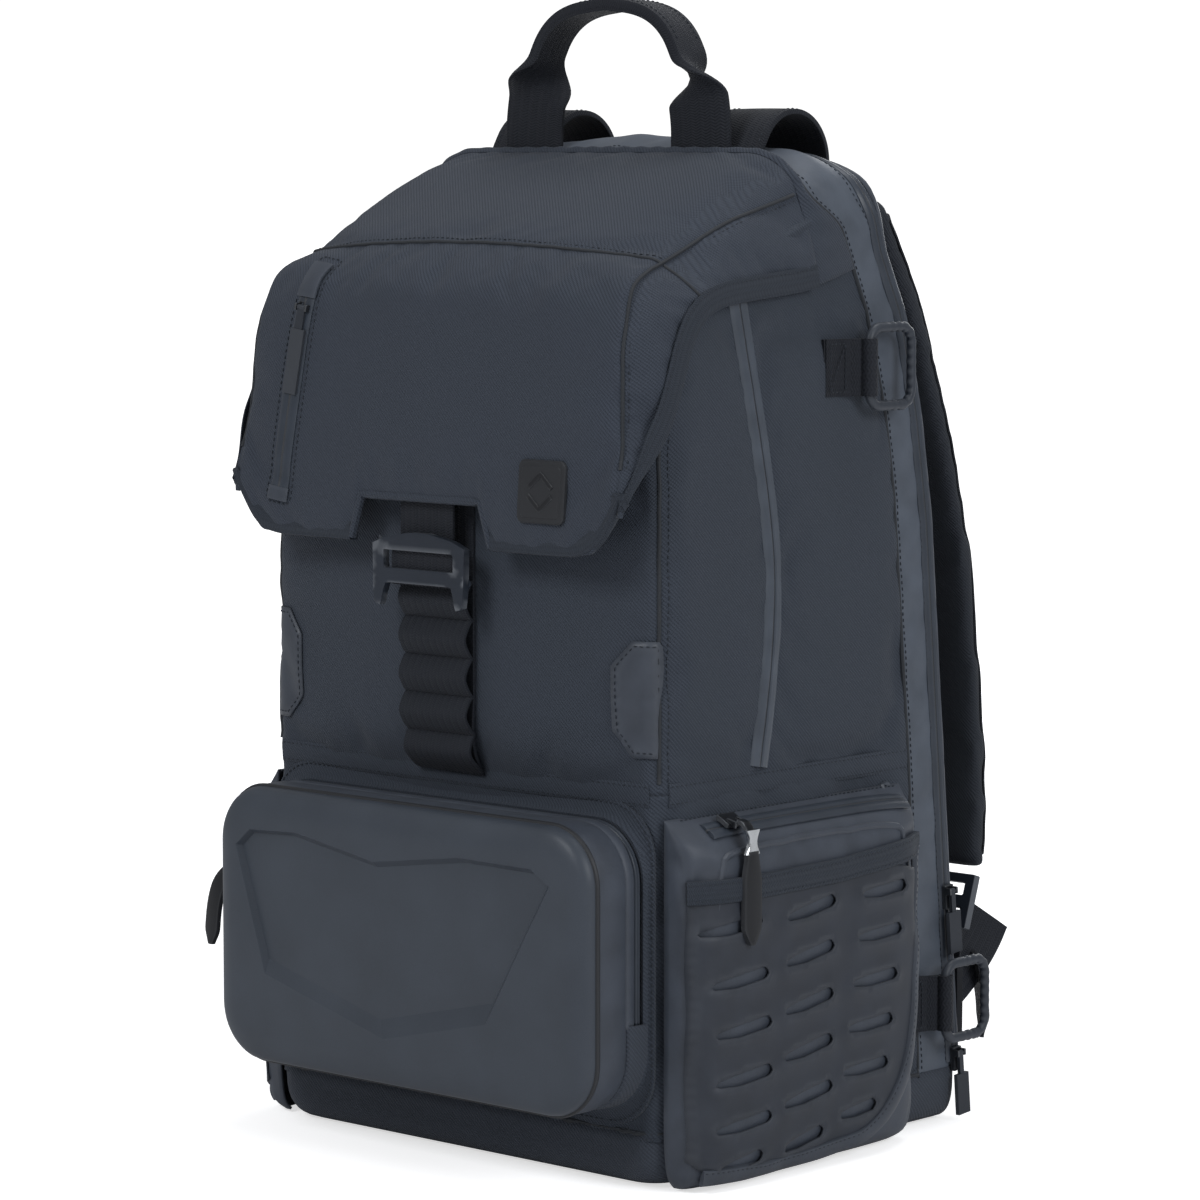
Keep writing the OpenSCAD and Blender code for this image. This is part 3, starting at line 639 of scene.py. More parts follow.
def rounded_rect(w, h, r, n=8, step=None):
    """An anticlockwise rounded rectangle about the origin."""
    points = []
    for k, (cx, cy) in enumerate([(w / 2 - r, -h / 2 + r), (w / 2 - r, h / 2 - r), (-w / 2 + r, h / 2 - r),
                                  (-w / 2 + r, -h / 2 + r)]):
        for a in np.linspace(-90 + 90 * k, 90 * k, n + 1):
            points.append((cx + r * math.cos(math.radians(a)), cy + r * math.sin(math.radians(a))))
    points = np.array(points)
    if step:
        closed = np.concatenate([points, points[:1]])
        points = resample(closed, step)[:-1]
    return points


# ---- body cloth ----

CENTRE = (0, 0, 260)
FRONT_TOP = box("front_panel")[1][2] - 6
ROOF_TOP = box("top_collar")[1][2]
ROOF_REAR = box("top_collar")[1][1]
GUSSET_TOP = box("rear_gusset")[1][2]
GUSSET_REAR = 46.0
TOP_R = 42.0
TOP_CORNER_Z = 486.0
MOUTH = rounded_rect(206, 66, 24, 8, 4) + [0, -52]
SIDE_ZIP = [(-62, 452), (-36, 345), (-32, 300), (-36, 255), (-44, 211)]


def round_body(half_w, y_front, y_rear, r, n_side=44, n_corner=5, n_front=58):
    """Points round three sides of the body, from the right rear edge over the front to the left rear edge."""
    r = min(r, (y_rear - y_front) * 0.8)
    side = [(half_w, y) for y in np.linspace(y_rear, y_front + r, n_side)]
    corner = [(half_w - r + r * math.cos(a), y_front + r - r * math.sin(a))
              for a in np.linspace(0, math.pi / 2, n_corner + 1)[1:]]
    half = np.array(side + corner)
    across = np.linspace(half_w - r, r - half_w, n_front)[1:-1]
    return np.concatenate([half, np.stack([across, np.full(len(across), y_front)], 1), half[::-1] * [-1, 1]])


FRONT_BULGE = 8.5


def bulged(ring, z):
    """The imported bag's front panel stands out towards its middle."""
    full = FRONT_BULGE * smoothstep(z, 189, 224) * (1 - smoothstep(z, 380, FRONT_TOP))
    ring = ring.copy()
    ring[:, 1] -= full * (1 - np.clip(np.abs(ring[:, 0]) / (HALF_W - 12), 0, 1) ** 2) * (ring[:, 1] < FRONT + 9)
    return ring


def body_rows(heights):
    rows = []
    for z in heights:
        y_front = np.interp(z, [FRONT_TOP, FRONT_TOP + 4, ROOF_TOP], [FRONT, FRONT + 8, ROOF_REAR])
        ring = round_body(HALF_W, y_front, seam_y(z) + 2, 10)
        rows.append(np.column_stack([bulged(ring, z), np.full(len(ring), z)]))
    return np.array(rows)


def near_line(points, line, reach):
    """Which (y, z) points lie within reach of a polyline."""
    dense = resample(line, 2)
    return np.min(np.linalg.norm(points[:, None] - dense[None], axis=2), axis=1) < reach


def body_shell(name, heights, replaces):
    rows = body_rows(heights)
    part = outward(lattice(rows), CENTRE)
    if heights[-1] > FRONT_TOP:
        verts, faces, uvs = part
        kept, kept_uvs = [], []
        for i, face in enumerate(faces):
            x, y, z = verts[list(face)].mean(0)
            in_mouth = z > FRONT_TOP + 5 and abs(x) < 98 and -82 < y < -22
            if not in_mouth:
                kept.append(face)
                kept_uvs += uvs[i * 4:i * 4 + 4]
        part = verts, kept, kept_uvs
    piece = make(name, part, TWILL, "bag", replaces, open_sheet=True, inner=LINING)
    n, m = rows.shape[:2]
    flat = rows.reshape(-1, 3)
    column = np.tile(np.arange(m), n)
    row = np.repeat(np.arange(n), m)
    pinned = (row == 0) | (row == n - 1) | (column == 0) | (column == m - 1) | (column == 47) | (column == m - 48)
    pinned |= (np.abs(flat[:, 0]) > HALF_W - 1) & near_line(flat[:, 1:], SIDE_ZIP, 5)
    pinned |= flat[:, 2] > FRONT_TOP - 2
    cloth(piece, np.nonzero(pinned)[0], 1.6, 3.0, 0.02)
    return piece


upper = body_shell("upper_body", list(np.arange(BELT_Z, FRONT_TOP, 5.2)) + list(np.linspace(FRONT_TOP, ROOF_TOP, 15)),
                   ["front_panel", "side_panel_right", "side_panel_left"])
lower = body_shell("lower_body", np.linspace(BASE_H - 2, BELT_Z, 34), ["lower_front_panel"])


def base_rows():
    """The base tray: a low wall that rolls under to a flat bottom."""
    rear = zip_y(BASE_H) - 1.5
    rows = []
    for z, inset in ((BASE_H + 2, -0.8), (18, -0.9), (10, 0.6), (5, 3.2), (2, 6.5), (0.3, 12), (0.2, 30), (0.2, 60), (0.2, 100)):
        ring = round_body(HALF_W - inset, FRONT + inset, rear, 16 - inset * 0.1, 30, 6, 40)
        back = np.column_stack([np.linspace(inset - HALF_W, HALF_W - inset, 40)[1:-1], np.full(38, rear)])
        rows.append(np.column_stack([np.concatenate([ring, back]), np.full(len(ring) + 38, z)]))
    return np.array(rows)


base_sheet = base_rows()
base_part = lattice(base_sheet, False, True)
base_part[1].append(tuple(range(len(base_sheet[0]) * 8, len(base_sheet[0]) * 9)))
base_part[2].extend([(0, 0)] * len(base_sheet[0]))
# The base tray carries the base cloth's painted light.
base = make("base_tray", outward(base_part, (0, 0, 40)), BASE_CLOTH_PAINTED_LIGHT, "bag", ["base_panel"], True, inner=LINING)

contour = [(HALF_W, z) for z in np.arange(BASE_H, TOP_CORNER_Z, 5.0)]
contour += [(HALF_W - TOP_R + TOP_R * math.cos(a), TOP_CORNER_Z + TOP_R * math.sin(a))
            for a in np.radians(np.linspace(0, 84, 13))]
contour += [(x, np.interp(x, [0, contour[-1][0]], [GUSSET_TOP, contour[-1][1]]))
            for x in np.linspace(contour[-1][0], 0, 18)[1:]]
contour = np.array(contour + [(-x, z) for x, z in contour[-2::-1]])


def gusset_rear(z):
    return zip_y(z) if z < 484 else np.interp(z, [484, 529], [zip_y(484), GUSSET_REAR])


def gusset_front(z):
    return seam_y(z) if z < 502 else ROOF_REAR


def gusset_point(x, z, t):
    y = gusset_front(z) * (1 - t) + gusset_rear(z) * t
    ridge = np.interp(y, [ROOF_REAR, 22, GUSSET_REAR], [GUSSET_TOP - 9, GUSSET_TOP, GUSSET_TOP - 7])
    return x, y, z - (GUSSET_TOP - ridge) * smoothstep(z, 505, 530)


gusset_sheet = np.array([[gusset_point(x, z, t) for t in np.linspace(0, 1, 12)] for x, z in contour])
# The gusset sheet carries that painted light.
gusset = make("rear_gusset_cloth", outward(lattice(gusset_sheet), CENTRE), GUSSET_PAINTED_LIGHT, "bag",
              ["rear_gusset"], True, inner=LINING)
edge = np.zeros(gusset_sheet.shape[:2], bool)
edge[:, 0] = edge[:, -1] = edge[0] = edge[-1] = True
edge[:, 9] = True
cloth(gusset, np.nonzero(edge.ravel())[0], 1.0, 1.4, 0.004)

# ---- lid ----

LID_EDGE = box("lid_binding")[0][2]
LID_W = box("lid_shell")[1][0]
LID_REAR = box("lid_shell")[1][1]
# Lower edge of the wing beside the flap as (y, z), from the flap's bottom corner back to the gusset
WING_EDGE = [(-147.5, 345), (-142, 358), (-131, 375), (-119, 390), (-110, 415), (-104, 434), (-95, 445), (-82, 450),
             (-18, 455), (LID_REAR, 457)]
LID_ROWS = 76
WING_COLS, LID_CORNER_COLS, LID_FRONT_COLS = 11, 4, 34
front_line = [cad_hit("lid_shell", (70, -400, z), FORWARD)[1:] for z in np.linspace(LID_EDGE + 30, LID_EDGE + 141, 20)]
slope = (front_line[-1] - front_line[0]) / (front_line[-1][1] - front_line[0][1])
front_line = [front_line[0] - slope * 30] + front_line
top_line = [cad_hit("lid_shell", (0, y, 900), -UP)[1:] for y in np.linspace(front_line[-1][0] + 9, LID_REAR - 1, 24)]
lid_line = smooth_path(front_line + top_line, 3, 2)
lid_line = resample(lid_line, count=LID_ROWS)
wing_line = resample(smooth_path(WING_EDGE, 3, 2), count=LID_ROWS)
FOLD = int(np.argmin(np.abs(lid_line[:, 1] - (front_line[-1][1] + 13))))
FOLD_F = FOLD / (LID_ROWS - 1)
NOTCH_TOP, NOTCH_FOOT, NOTCH_TALL = 43.0, 50.5, 23.0


def lid_drop(x, f):
    """How far the lid's sides fall below its middle: slightly at the fold, round the shoulders at the rear."""
    x = np.abs(x)
    at_fold = 7 * (x / 124) ** 2 * smoothstep(f, FOLD_F - 0.12, FOLD_F)
    reach = np.clip(x - (HALF_W - TOP_R), 0, TOP_R - 3)
    at_rear = TOP_R - np.sqrt(TOP_R ** 2 - reach ** 2)
    blend_back = smoothstep(f, 0.55, 1.0)
    return at_fold * (1 - blend_back) + at_rear * blend_back


def lid_rise(x):
    """How far the flap's lower edge stands above its lobes: cut corners at the sides, a notch in the middle."""
    x = np.abs(x)
    notch = NOTCH_TALL * np.clip((NOTCH_FOOT - x) / (NOTCH_FOOT - NOTCH_TOP), 0, 1)
    corner = 1.25 * np.clip(x - 118, 0, None)
    return np.maximum(notch, corner)


def lid_row(i):
    """One section of the lid, from the right wing's edge over the top to the left wing's edge."""
    f = i / (LID_ROWS - 1)
    p, w = lid_line[i], wing_line[i]
    turn = 6.0
    seam_x = np.interp(f, [0, FOLD_F * 0.7, FOLD_F, 1], [138, 131, 125, 133])
    behind = 14 * smoothstep(f, FOLD_F * 0.6, FOLD_F) * (1 - smoothstep(f, FOLD_F, 0.85))
    across = np.array([(x, *p) for x in lid_columns * ((seam_x - turn) / lid_columns[0])])
    if f < 0.2:
        across[:, 0] += (lid_columns - across[:, 0]) * (1 - smoothstep(lid_columns, 60, 110))
    ahead = unit(w - p)
    corner = np.array([(seam_x - turn * (1 - math.cos(a)), *(p + ahead * turn * 0.7 * (1 - math.sin(a))))
                       for a in np.linspace(0, math.pi / 2, LID_CORNER_COLS + 1)[:-1]])
    half = np.concatenate([corner, across])
    fade = 1 - smoothstep(half[:, 2] - LID_EDGE, 4, 80)
    half[:, 2] += lid_rise(half[:, 0]) * fade - lid_drop(half[:, 0], f)
    half[:, 1] += behind * (np.abs(half[:, 0]) / seam_x) ** 4
    edge_x = seam_x + 1.5 + (145.5 - seam_x - 1.5) * smoothstep(i, 0, 14) + 1.5 * smoothstep(i, 5, 20) * (1 - smoothstep(f, 0.4, 0.9))
    t = np.linspace(0, 1, WING_COLS + 1)[:-1]
    seam = half[0]
    wing_yz = w * (1 - t)[:, None] + seam[1:] * t[:, None]
    wing_x = edge_x + (seam[0] - edge_x) * t ** 1.7
    return np.concatenate([np.column_stack([wing_x, wing_yz]), half, (half[:-1] * [-1, 1, 1])[::-1],
                           np.column_stack([-wing_x, wing_yz])[::-1]])


inner_columns = np.linspace(132, NOTCH_FOOT, 19)
lid_columns = np.concatenate([inner_columns, [(NOTCH_FOOT + NOTCH_TOP) / 2], np.linspace(NOTCH_TOP, 0, 13)])
lid_sheet = np.array([lid_row(i) for i in range(LID_ROWS)])
LID_COLS = lid_sheet.shape[1]
CORNER_COL = WING_COLS + 1
lid = make("lid_cloth", outward(lattice(lid_sheet), (0, 0, 380)), LID_TWILL, "lid", ["lid_shell"], True,
           inner=LINING)
held = np.zeros(lid_sheet.shape[:2], bool)
held[0] = held[-1] = held[FOLD] = True
held[:, 0] = held[:, -1] = held[:, CORNER_COL] = held[:, LID_COLS - 1 - CORNER_COL] = True
held[:9, :CORNER_COL + 2] = held[:9, LID_COLS - CORNER_COL - 2:] = True
cloth(lid, np.nonzero(held.ravel())[0], 2.4, 4.5, 0.022)

# ---- side pockets ----

POCKET_LOW, POCKET_HIGH = box("side_pocket_right")
POCKET_D = POCKET_HIGH[0] - HALF_W
POCKET_MID = (POCKET_LOW[1] + POCKET_HIGH[1]) / 2
POCKET_HALF = (POCKET_HIGH[1] - POCKET_LOW[1]) / 2 - 1
POCKET_ROWS = [(1.5, 0.45, 8), (4, 0.72, 5), (8, 0.87, 2.5), (15, 0.95, 1), (26, 0.99, 0), (40, 1, 0)]
POCKET_ROWS += [(z, 1.0, 0) for z in range(52, 166, 9)]
POCKET_ROWS += [(166, 0.995, 0), (171, 0.985, 0), (175.5, 0.95, 0), (179, 0.86, 0), (181.5, 0.72, 0), (183.5, 0.58, 0),
                (186, 0.42, 0), (188.5, 0.24, 0), (191, 0.04, 0)]


def pocket_row(z, depth, inset):
    """A section of a side pocket: a flat face with well-rounded ends."""
    a = np.linspace(0, math.pi, 49)
    y = POCKET_MID + (POCKET_HALF - inset) * np.sign(np.cos(a)) * np.abs(np.cos(a)) ** 0.62
    x = HALF_W + 0.3 + POCKET_D * depth * np.sin(a) ** 0.42
    return np.column_stack([x, y[::-1], np.full(len(a), z)])


pocket_sheet = np.array([pocket_row(*row) for row in POCKET_ROWS])
pocket_part = outward(lattice(pocket_sheet), (0, POCKET_MID, 90))
held = np.zeros(pocket_sheet.shape[:2], bool)
held[:2] = held[-7:] = True
held[:, 0] = held[:, -1] = True
pockets = {}
for side, part in (("right", pocket_part), ("left", mirrored(pocket_part))):
    pockets[side] = make(f"side_pocket_{side}_cloth", part, COATED, "bag", [f"side_pocket_{side}"], True,
                         inner=LINING)
    cloth(pockets[side], np.nonzero(held.ravel())[0], 1.4, 2.2, 0.015)

simulate()
for sheet, thickness, levels in ((upper, 4.5, 1), (lower, 4.5, 1), (base, 3.0, 1), (gusset, 3.0, 1), (lid, 3.8, 1),
                                 (pockets["right"], 1.6, 1), (pockets["left"], 1.6, 1)):
    thicken(sheet, thickness, levels)

body_tree = tree_from(upper, lower, base)
lid_tree = tree_from(lid)
gusset_tree = tree_from(gusset)
pocket_tree = tree_from(pockets["right"])


def cling(tree, points, lift=0.0):
    """The nearest places on a surface, and its normals there, smoothed along the path."""
    hits = [tree.find_nearest(Vector(p)) for p in np.asarray(points, float)]
    places = np.array([h[0] for h in hits])
    normals = np.array([h[1] for h in hits])
    away = np.asarray(points, float) - CENTRE
    normals *= np.where(np.sum(normals * away, axis=1) < 0, -1, 1)[:, None]
    for _ in range(3):
        soft = normals.copy()
        soft[1:-1] = normals[:-2] + normals[1:-1] + normals[2:]
        normals = unit(soft)
    return places + normals * lift, normals


def both_sides(part):
    return [part, mirrored(part)]


def on_side(line, x=400):
    """(y, z) points as points beside the right side."""
    line = np.asarray(line, float)
    return np.column_stack([np.full(len(line), float(x)), line])


def on_front(line, y=-400):
    line = np.asarray(line, float)
    return np.column_stack([line[:, 0], np.full(len(line), float(y)), line[:, 1]])


def mirror_path(path):
    return np.asarray(path) * [-1, 1, 1]


def stitch_pair(body, path, normals, **options):
    """The same stitching on both sides of the object."""
    stitch(body, path, normals, **options)
    stitch(body, mirror_path(path), mirror_path(normals), **options)


def keep(node, material, width=0.5):
    """Shows a CAD node with its edges softened and its own material."""
    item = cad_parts[node]
    item.data.materials.clear()
    item.data.materials.append(material)
    item.modifiers.new("Weld", "WELD").merge_threshold = 0.00002
    soft = item.modifiers.new("Soft_edges", "BEVEL")
    soft.width = width * MM
    soft.segments = 2
    soft.limit_method = "ANGLE"
    soft.angle_limit = math.radians(35)


# ---- seams and zips of the body ----

belt_line = bulged(round_body(HALF_W, FRONT, 78, 10, 40, 6, 70), BELT_Z)
belt_path, belt_normals = cling(body_tree, np.column_stack([belt_line, np.full(len(belt_line), BELT_Z)]), 0.1)
belt_parts = []
for keeps in (belt_line[:, 0] > HALF_W - 1, belt_line[:, 1] < FRONT + 1, belt_line[:, 0] < 1 - HALF_W):
    path, normals = belt_path[keeps], belt_normals[keeps]
    normals = unit(normals * [1, 1, 0])
    belt_parts.append(sweep(path, normals, flat_profile(12, 0.8, 0.4)))
    for shift in (-4.4, 4.4):
        stitch("bag", offset_path(path, normals, shift), normals, lift=0.95)
make("belt_band", belt_parts, TWILL, "bag", ["belt_seam"])

side_zip_path, side_zip_normals = drape(body_tree, on_side(smooth_path(SIDE_ZIP, 5, 3)), LEFTWARD, 0.1)
# The side zips' lips carry their tape's painted highlight.
make("side_zips_coated", both_sides(sweep(side_zip_path, side_zip_normals, zip_profile(14, 1.9))), GLOSSY_TAPE_PAINTED_HIGHLIGHT, "bag",
     ["side_zips"])
make("side_zip_coils", both_sides(sweep(side_zip_path, side_zip_normals, round_profile(1.0, -0.1))), COIL, "bag")
for shift in (-5.6, 5.6):
    stitch_pair("bag", offset_path(side_zip_path, side_zip_normals, shift), side_zip_normals, lift=1.1)

front_edge = [gusset_point(x, z, 0.0) for x, z in contour]
seam_path, seam_normals = cling(gusset_tree, front_edge, 0.0)
# The gusset's front seam bead is dark as painted shade of the seam groove.
make("gusset_piping", sweep(seam_path, seam_normals, round_profile(1.3, 0.4)), SEAM_PAINTED_SHADE, "bag")
stitch("bag", *cling(gusset_tree, [gusset_point(x, z, 0.1) for x, z in contour], 0.05))
rear_path, rear_normals = cling(gusset_tree, [gusset_point(x, z, 0.86) for x, z in contour[1:-1]], 0.0)
make("rear_zip_lips", sweep(rear_path, rear_normals, zip_profile(9, 1.5)), ZIP_TAPE, "bag", ["rear_zip"])
make("rear_zip_coil", sweep(rear_path, rear_normals, round_profile(0.9, -0.1)), COIL, "bag")
stitch("bag", *cling(gusset_tree, [gusset_point(x, z, 0.72) for x, z in contour[1:-1]], 0.05))
rim_path, rim_normals = cling(gusset_tree, [gusset_point(x, z, 1.0) for x, z in contour], 0.0)
make("rear_rim_piping", sweep(rim_path, rim_normals, round_profile(1.9, 0.8)), WELT, "bag")
base_rim = round_body(HALF_W, FRONT, seam_y(BASE_H), 15, 30, 6, 60)
base_rim = np.column_stack([base_rim, np.full(len(base_rim), BASE_H + 1.5)])
base_path, base_normals = cling(body_tree, base_rim, 0.0)
# The base seam bead is dark as painted shade of the seam groove.
make("base_piping", sweep(base_path, base_normals, round_profile(1.4, 0.4)), SEAM_PAINTED_SHADE, "bag")
stitch("bag", offset_path(base_path, base_normals, 4), base_normals, lift=0.2)

# The body's front corners are sewn, with a line of stitches beside each seam
corner_z = np.linspace(BELT_Z + 6, FRONT_TOP - 30, 60)
front_corner = np.column_stack([np.full(60, HALF_W - 2.9), np.full(60, FRONT + 2.9), corner_z])
corner_seam, corner_out = cling(body_tree, front_corner, 0.0)
# The corner seam beads are dark as painted shade of the seam grooves.
make("front_corner_seams", both_sides(sweep(corner_seam, corner_out, round_profile(1.1, 0.3))), SEAM_PAINTED_SHADE, "bag")
side_of_seam, side_out = cling(body_tree, front_corner + [3, 4, 0], 0.1)
stitch_pair("bag", side_of_seam, side_out)

# Corner patches: each stands on the front panel beside its vertical edge
PATCH = np.array([(136.5, 222), (136.5, 281), (124, 281), (112, 268), (112, 235), (124, 222)], float)


def patch_part(outline, step, tree, lift, holes=(), direction=FORWARD, onto=on_front):
    flat, triangles = cdt_sheet(resample(np.concatenate([outline, outline[:1]]), 3)[:-1], holes, step=step)
    places, _ = drape(tree, onto(flat), direction)
    hits = [tree.find_nearest(Vector(p)) for p in places]
    normals = np.array([h[1] for h in hits])
    normals *= np.where(normals @ direction > 0, -1, 1)[:, None]
    return flat, flat_part(places + normals * lift, triangles, flat)


_, patch = patch_part(PATCH, 4, body_tree, 1.3)
patch = outward(patch, CENTRE)
patches = make("corner_patches_cloth", both_sides(patch), WELT, "bag", ["corner_patches"], True)
thicken(patches, 1.3, 0)
patch_line = np.array([(135, 224.5), (125, 224.5), (114.5, 235.5), (114.5, 267.5), (125, 278.5), (135, 278.5)], float)
stitch_pair("bag", *drape(body_tree, on_front(resample(patch_line, 2)), FORWARD, 1.35))

# Mouth of the top compartment: a gathered collar drawn in by a cord
ROOF_SLOPE = (ROOF_TOP - FRONT_TOP - 4) / (ROOF_REAR - FRONT - 8)


def roof_z(y):
    return FRONT_TOP + 4 + ROOF_SLOPE * (y - FRONT - 8)


def collar_ring(grow, lift, ruffle, phase):
    ring = rounded_rect(206 + 2 * grow, 66 + 2 * grow, max(24 + grow, 4), 10)
    ring = resample(np.concatenate([ring, ring[:1]]), count=241)[:-1]
    turn = np.arange(240) / 240 * 2 * math.pi
    wavy = ruffle * (np.sin(turn * 34 + phase) + 0.5 * np.sin(turn * 51 + 2 * phase))
    out = unit(ring)
    ring = ring + out * wavy[:, None] + [0, -52]
    return np.column_stack([ring, roof_z(ring[:, 1]) + lift + 0.5 * wavy])


collar_rows = [collar_ring(*row) for row in (
    (11, 0.7, 0, 0), (4, 1.4, 0.1, 0), (0.5, 3.0, 0.4, 0.4), (-1.5, 7, 0.9, 0.8), (-4, 10, 1.3, 1.0), (-9, 11.5, 1.5, 1.2),
    (-14, 11, 1.6, 1.4), (-16, 7, 1.4, 1.5), (-14, 0, 0.8, 1.5), (-8, -14, 0.4, 1.5))]
collar = make("gathered_collar", lattice(np.array(collar_rows), False, True), LINING, "bag", ["top_collar"], True)
thicken(collar, 0.8, 1)
cord_ring = collar_ring(-12, 12.6, 1.0, 1.3)
make("collar_cord", sweep(cord_ring, np.broadcast_to(UP, cord_ring.shape), round_profile(1.6), True), WEBBING, "bag")

# ---- lid trims ----

def lid_path(rows, cols, lift=0.0):
    """A path along grid places of the lid, moved onto its finished surface."""
    return cling(lid_tree, [lid_sheet[r][c] for r, c in zip(rows, cols)], lift)


fold_cols = range(CORNER_COL, LID_COLS - CORNER_COL)
fold_path, fold_normals = lid_path([FOLD] * len(fold_cols), fold_cols)
parts = [sweep(fold_path, fold_normals, round_profile(1.0, 0.2))]
corner_path, corner_normals = lid_path(range(6, LID_ROWS - 1), [CORNER_COL] * (LID_ROWS - 7))
parts += both_sides(sweep(corner_path, corner_normals, round_profile(1.0, 0.2)))
fold_wing = range(1, CORNER_COL)
parts += both_sides(sweep(*lid_path([FOLD] * len(fold_wing), fold_wing), round_profile(0.9, 0.3)))
# The lid's seam beads are dark as painted shade of the seam grooves.
make("lid_seams", parts, SEAM_PAINTED_SHADE, "lid")
stitch("lid", offset_path(fold_path, fold_normals, 3.2), fold_normals)
stitch_pair("lid", offset_path(corner_path, corner_normals, 3.2), corner_normals)

# Ribbed tape wrapped round the flap's lobes and wings; the notch between the lobes has a plain folded edge
centre_col = LID_COLS // 2
notch_cols = [c for c in range(LID_COLS) if abs(lid_sheet[0][c][0]) <= NOTCH_FOOT + 0.1]


def sheet_normal(r, c):
    down, up = lid_sheet[max(r - 1, 0)][c], lid_sheet[min(r + 1, LID_ROWS - 1)][c]
    before, after = lid_sheet[r][max(c - 1, 0)], lid_sheet[r][min(c + 1, LID_COLS - 1)]
    normal = np.cross(after - before, up - down)
    return normal if normal @ (lid_sheet[r][c] - [0, 0, 380]) > 0 else -normal


TAPE = [(11, 0.1), (11, 0.9), (6, 1.25), (0.4, 1.25), (-1.2, 0.5), (-1.6, -2.0), (-1.2, -4.5), (0.4, -5.4), (7, -5.3), (7, -4.5),
        (0.5, -4.4), (0.5, 0.1)]
edge_cells = [(r, 0) for r in range(LID_ROWS - 1, 0, -1)] + [(0, c) for c in range(notch_cols[0] + 1)]
edge_line = np.array([lid_sheet[r][c] for r, c in edge_cells])
edge_normals = unit(np.array([unit(sheet_normal(r, c)) for r, c in edge_cells]))
both = resample(np.column_stack([edge_line, edge_normals * 40]), 4)
for _ in range(9):
    both[1:-1] = (both[:-2] + both[1:-1] + both[2:]) / 3
edge_line, edge_normals = both[:, :3], unit(both[:, 3:])
narrow = 1 - 0.6 * smoothstep(edge_line[:, 0], 120, 132) * (1 - smoothstep(edge_line[:, 2], 358, 385))
make("lid_binding_tape", both_sides(sweep(edge_line, edge_normals, TAPE, widths=narrow)), BINDING, "lid", ["lid_binding"])
stitch_pair("lid", offset_path(edge_line, edge_normals, 9.2 * narrow[:, None]), edge_normals, lift=1.0)
notch_line = np.array([lid_sheet[0][c] for c in notch_cols])
make("notch_fold", sweep(notch_line + FORWARD * 1.8, -FORWARD, round_profile(2.4, 0)), LID_TWILL, "lid")

LID_ZIP = [(-103, 346), (-87.5, 464)]
LID_ZIP_FRAME = rounded_rect(18, 130, 3, 3)
zip_way = unit(np.array(LID_ZIP[1]) - np.array(LID_ZIP[0]))
zip_mid = (np.array(LID_ZIP[0]) + np.array(LID_ZIP[1])) / 2
window = [zip_mid + p[0] * np.array([zip_way[1], -zip_way[0]]) + p[1] * zip_way for p in LID_ZIP_FRAME]
window = resample(np.array(window + window[:1]), 3)
zip_points = resample(np.array(LID_ZIP), 4)
lid_zip_path, lid_zip_normals = drape(lid_tree, on_front(zip_points), FORWARD, 0.1)
make("lid_zip_lips", sweep(lid_zip_path, lid_zip_normals, zip_profile(13, 1.3)), ZIP_TAPE, "lid", ["lid_zip"])
make("lid_zip_coil", sweep(lid_zip_path, lid_zip_normals, round_profile(1.0, -0.1)), COIL, "lid")
stitch("lid", *drape(lid_tree, on_front(window), FORWARD, 0.1))
for z_low, z_high, name in ((104, 121, "lid_zip_garage"), (-4, 3, "lid_zip_end")):
    tab = [np.array(LID_ZIP[0]) + zip_way * d for d in (z_low, (z_low + z_high) / 2, z_high)]
    tab_path, tab_normals = drape(lid_tree, on_front(resample(np.array(tab), 2)), FORWARD, 1.2 if z_low > 0 else 0.6)
    make(name, sweep(tab_path, tab_normals, flat_profile(14.5, 1.0 if z_low > 0 else 0.7, 0.5)), WELT, "lid")

# Plain badge: a rubber plate with a raised chevron
badge_low, badge_high = box("lid_badge")
badge_mid = np.array([(badge_low[0] + badge_high[0]) / 2, (badge_low[2] + badge_high[2]) / 2])
plate_place, plate_normal = drape(lid_tree, on_front([badge_mid + [-13, 0], badge_mid, badge_mid + [13, 0]]), FORWARD)
badge_y = plate_place[:, 1].min()
badge_parts = []
for size, radius, height, base_y in ((32, 4, 1.7, 0.6), (27, 3, 2.1, 0.6)):
    ring = rounded_rect(size, size, radius, 6) + badge_mid
    small = rounded_rect(size - 1.2, size - 1.2, radius - 0.5, 6) + badge_mid
    lean = (ring[:, 1] - badge_mid[1])[:, None] * [0, 0.075, 0]
    loops = [on_front(ring, badge_y + base_y) + lean, on_front(ring, badge_y - height + 0.6) + lean,
             on_front(small, badge_y - height) + lean]
    verts, faces, uvs = lattice(np.array(loops), False, True)
    count = len(ring)
    faces.append(tuple(range(2 * count, 3 * count)))
    faces.append(tuple(range(count))[::-1])
    uvs += [(0, 0)] * (2 * count)
    badge_parts.append((verts, faces, uvs))
for turn in (1, -1):
    arrow = np.array([(-8, 2), (0, 9), (8, 2)], float) * [1, turn] + badge_mid
    arrow = resample(arrow, 1.5)
    arrow_path = on_front(arrow, badge_y - 2.05) + (arrow[:, 1] - badge_mid[1])[:, None] * [0, 0.075, 0]
    badge_parts.append(sweep(arrow_path, -FORWARD, flat_profile(2.6, 0.5, 0.1)))
make("badge", badge_parts, BLACK_RUBBER, "lid", ["lid_badge"])

# ---- front pocket ----

SHELL_LOW, SHELL_HIGH = box("hard_shell")
SHELL_BACK = SHELL_HIGH[1]
SHELL_W = SHELL_HIGH[0] - SHELL_LOW[0]
SHELL_H = SHELL_HIGH[2] - SHELL_LOW[2]
SHELL_Z = (SHELL_LOW[2] + SHELL_HIGH[2]) / 2
SHELL_FRONT = SHELL_LOW[1] + 2.0
SHELL_R = 30.0
LOOP = 280


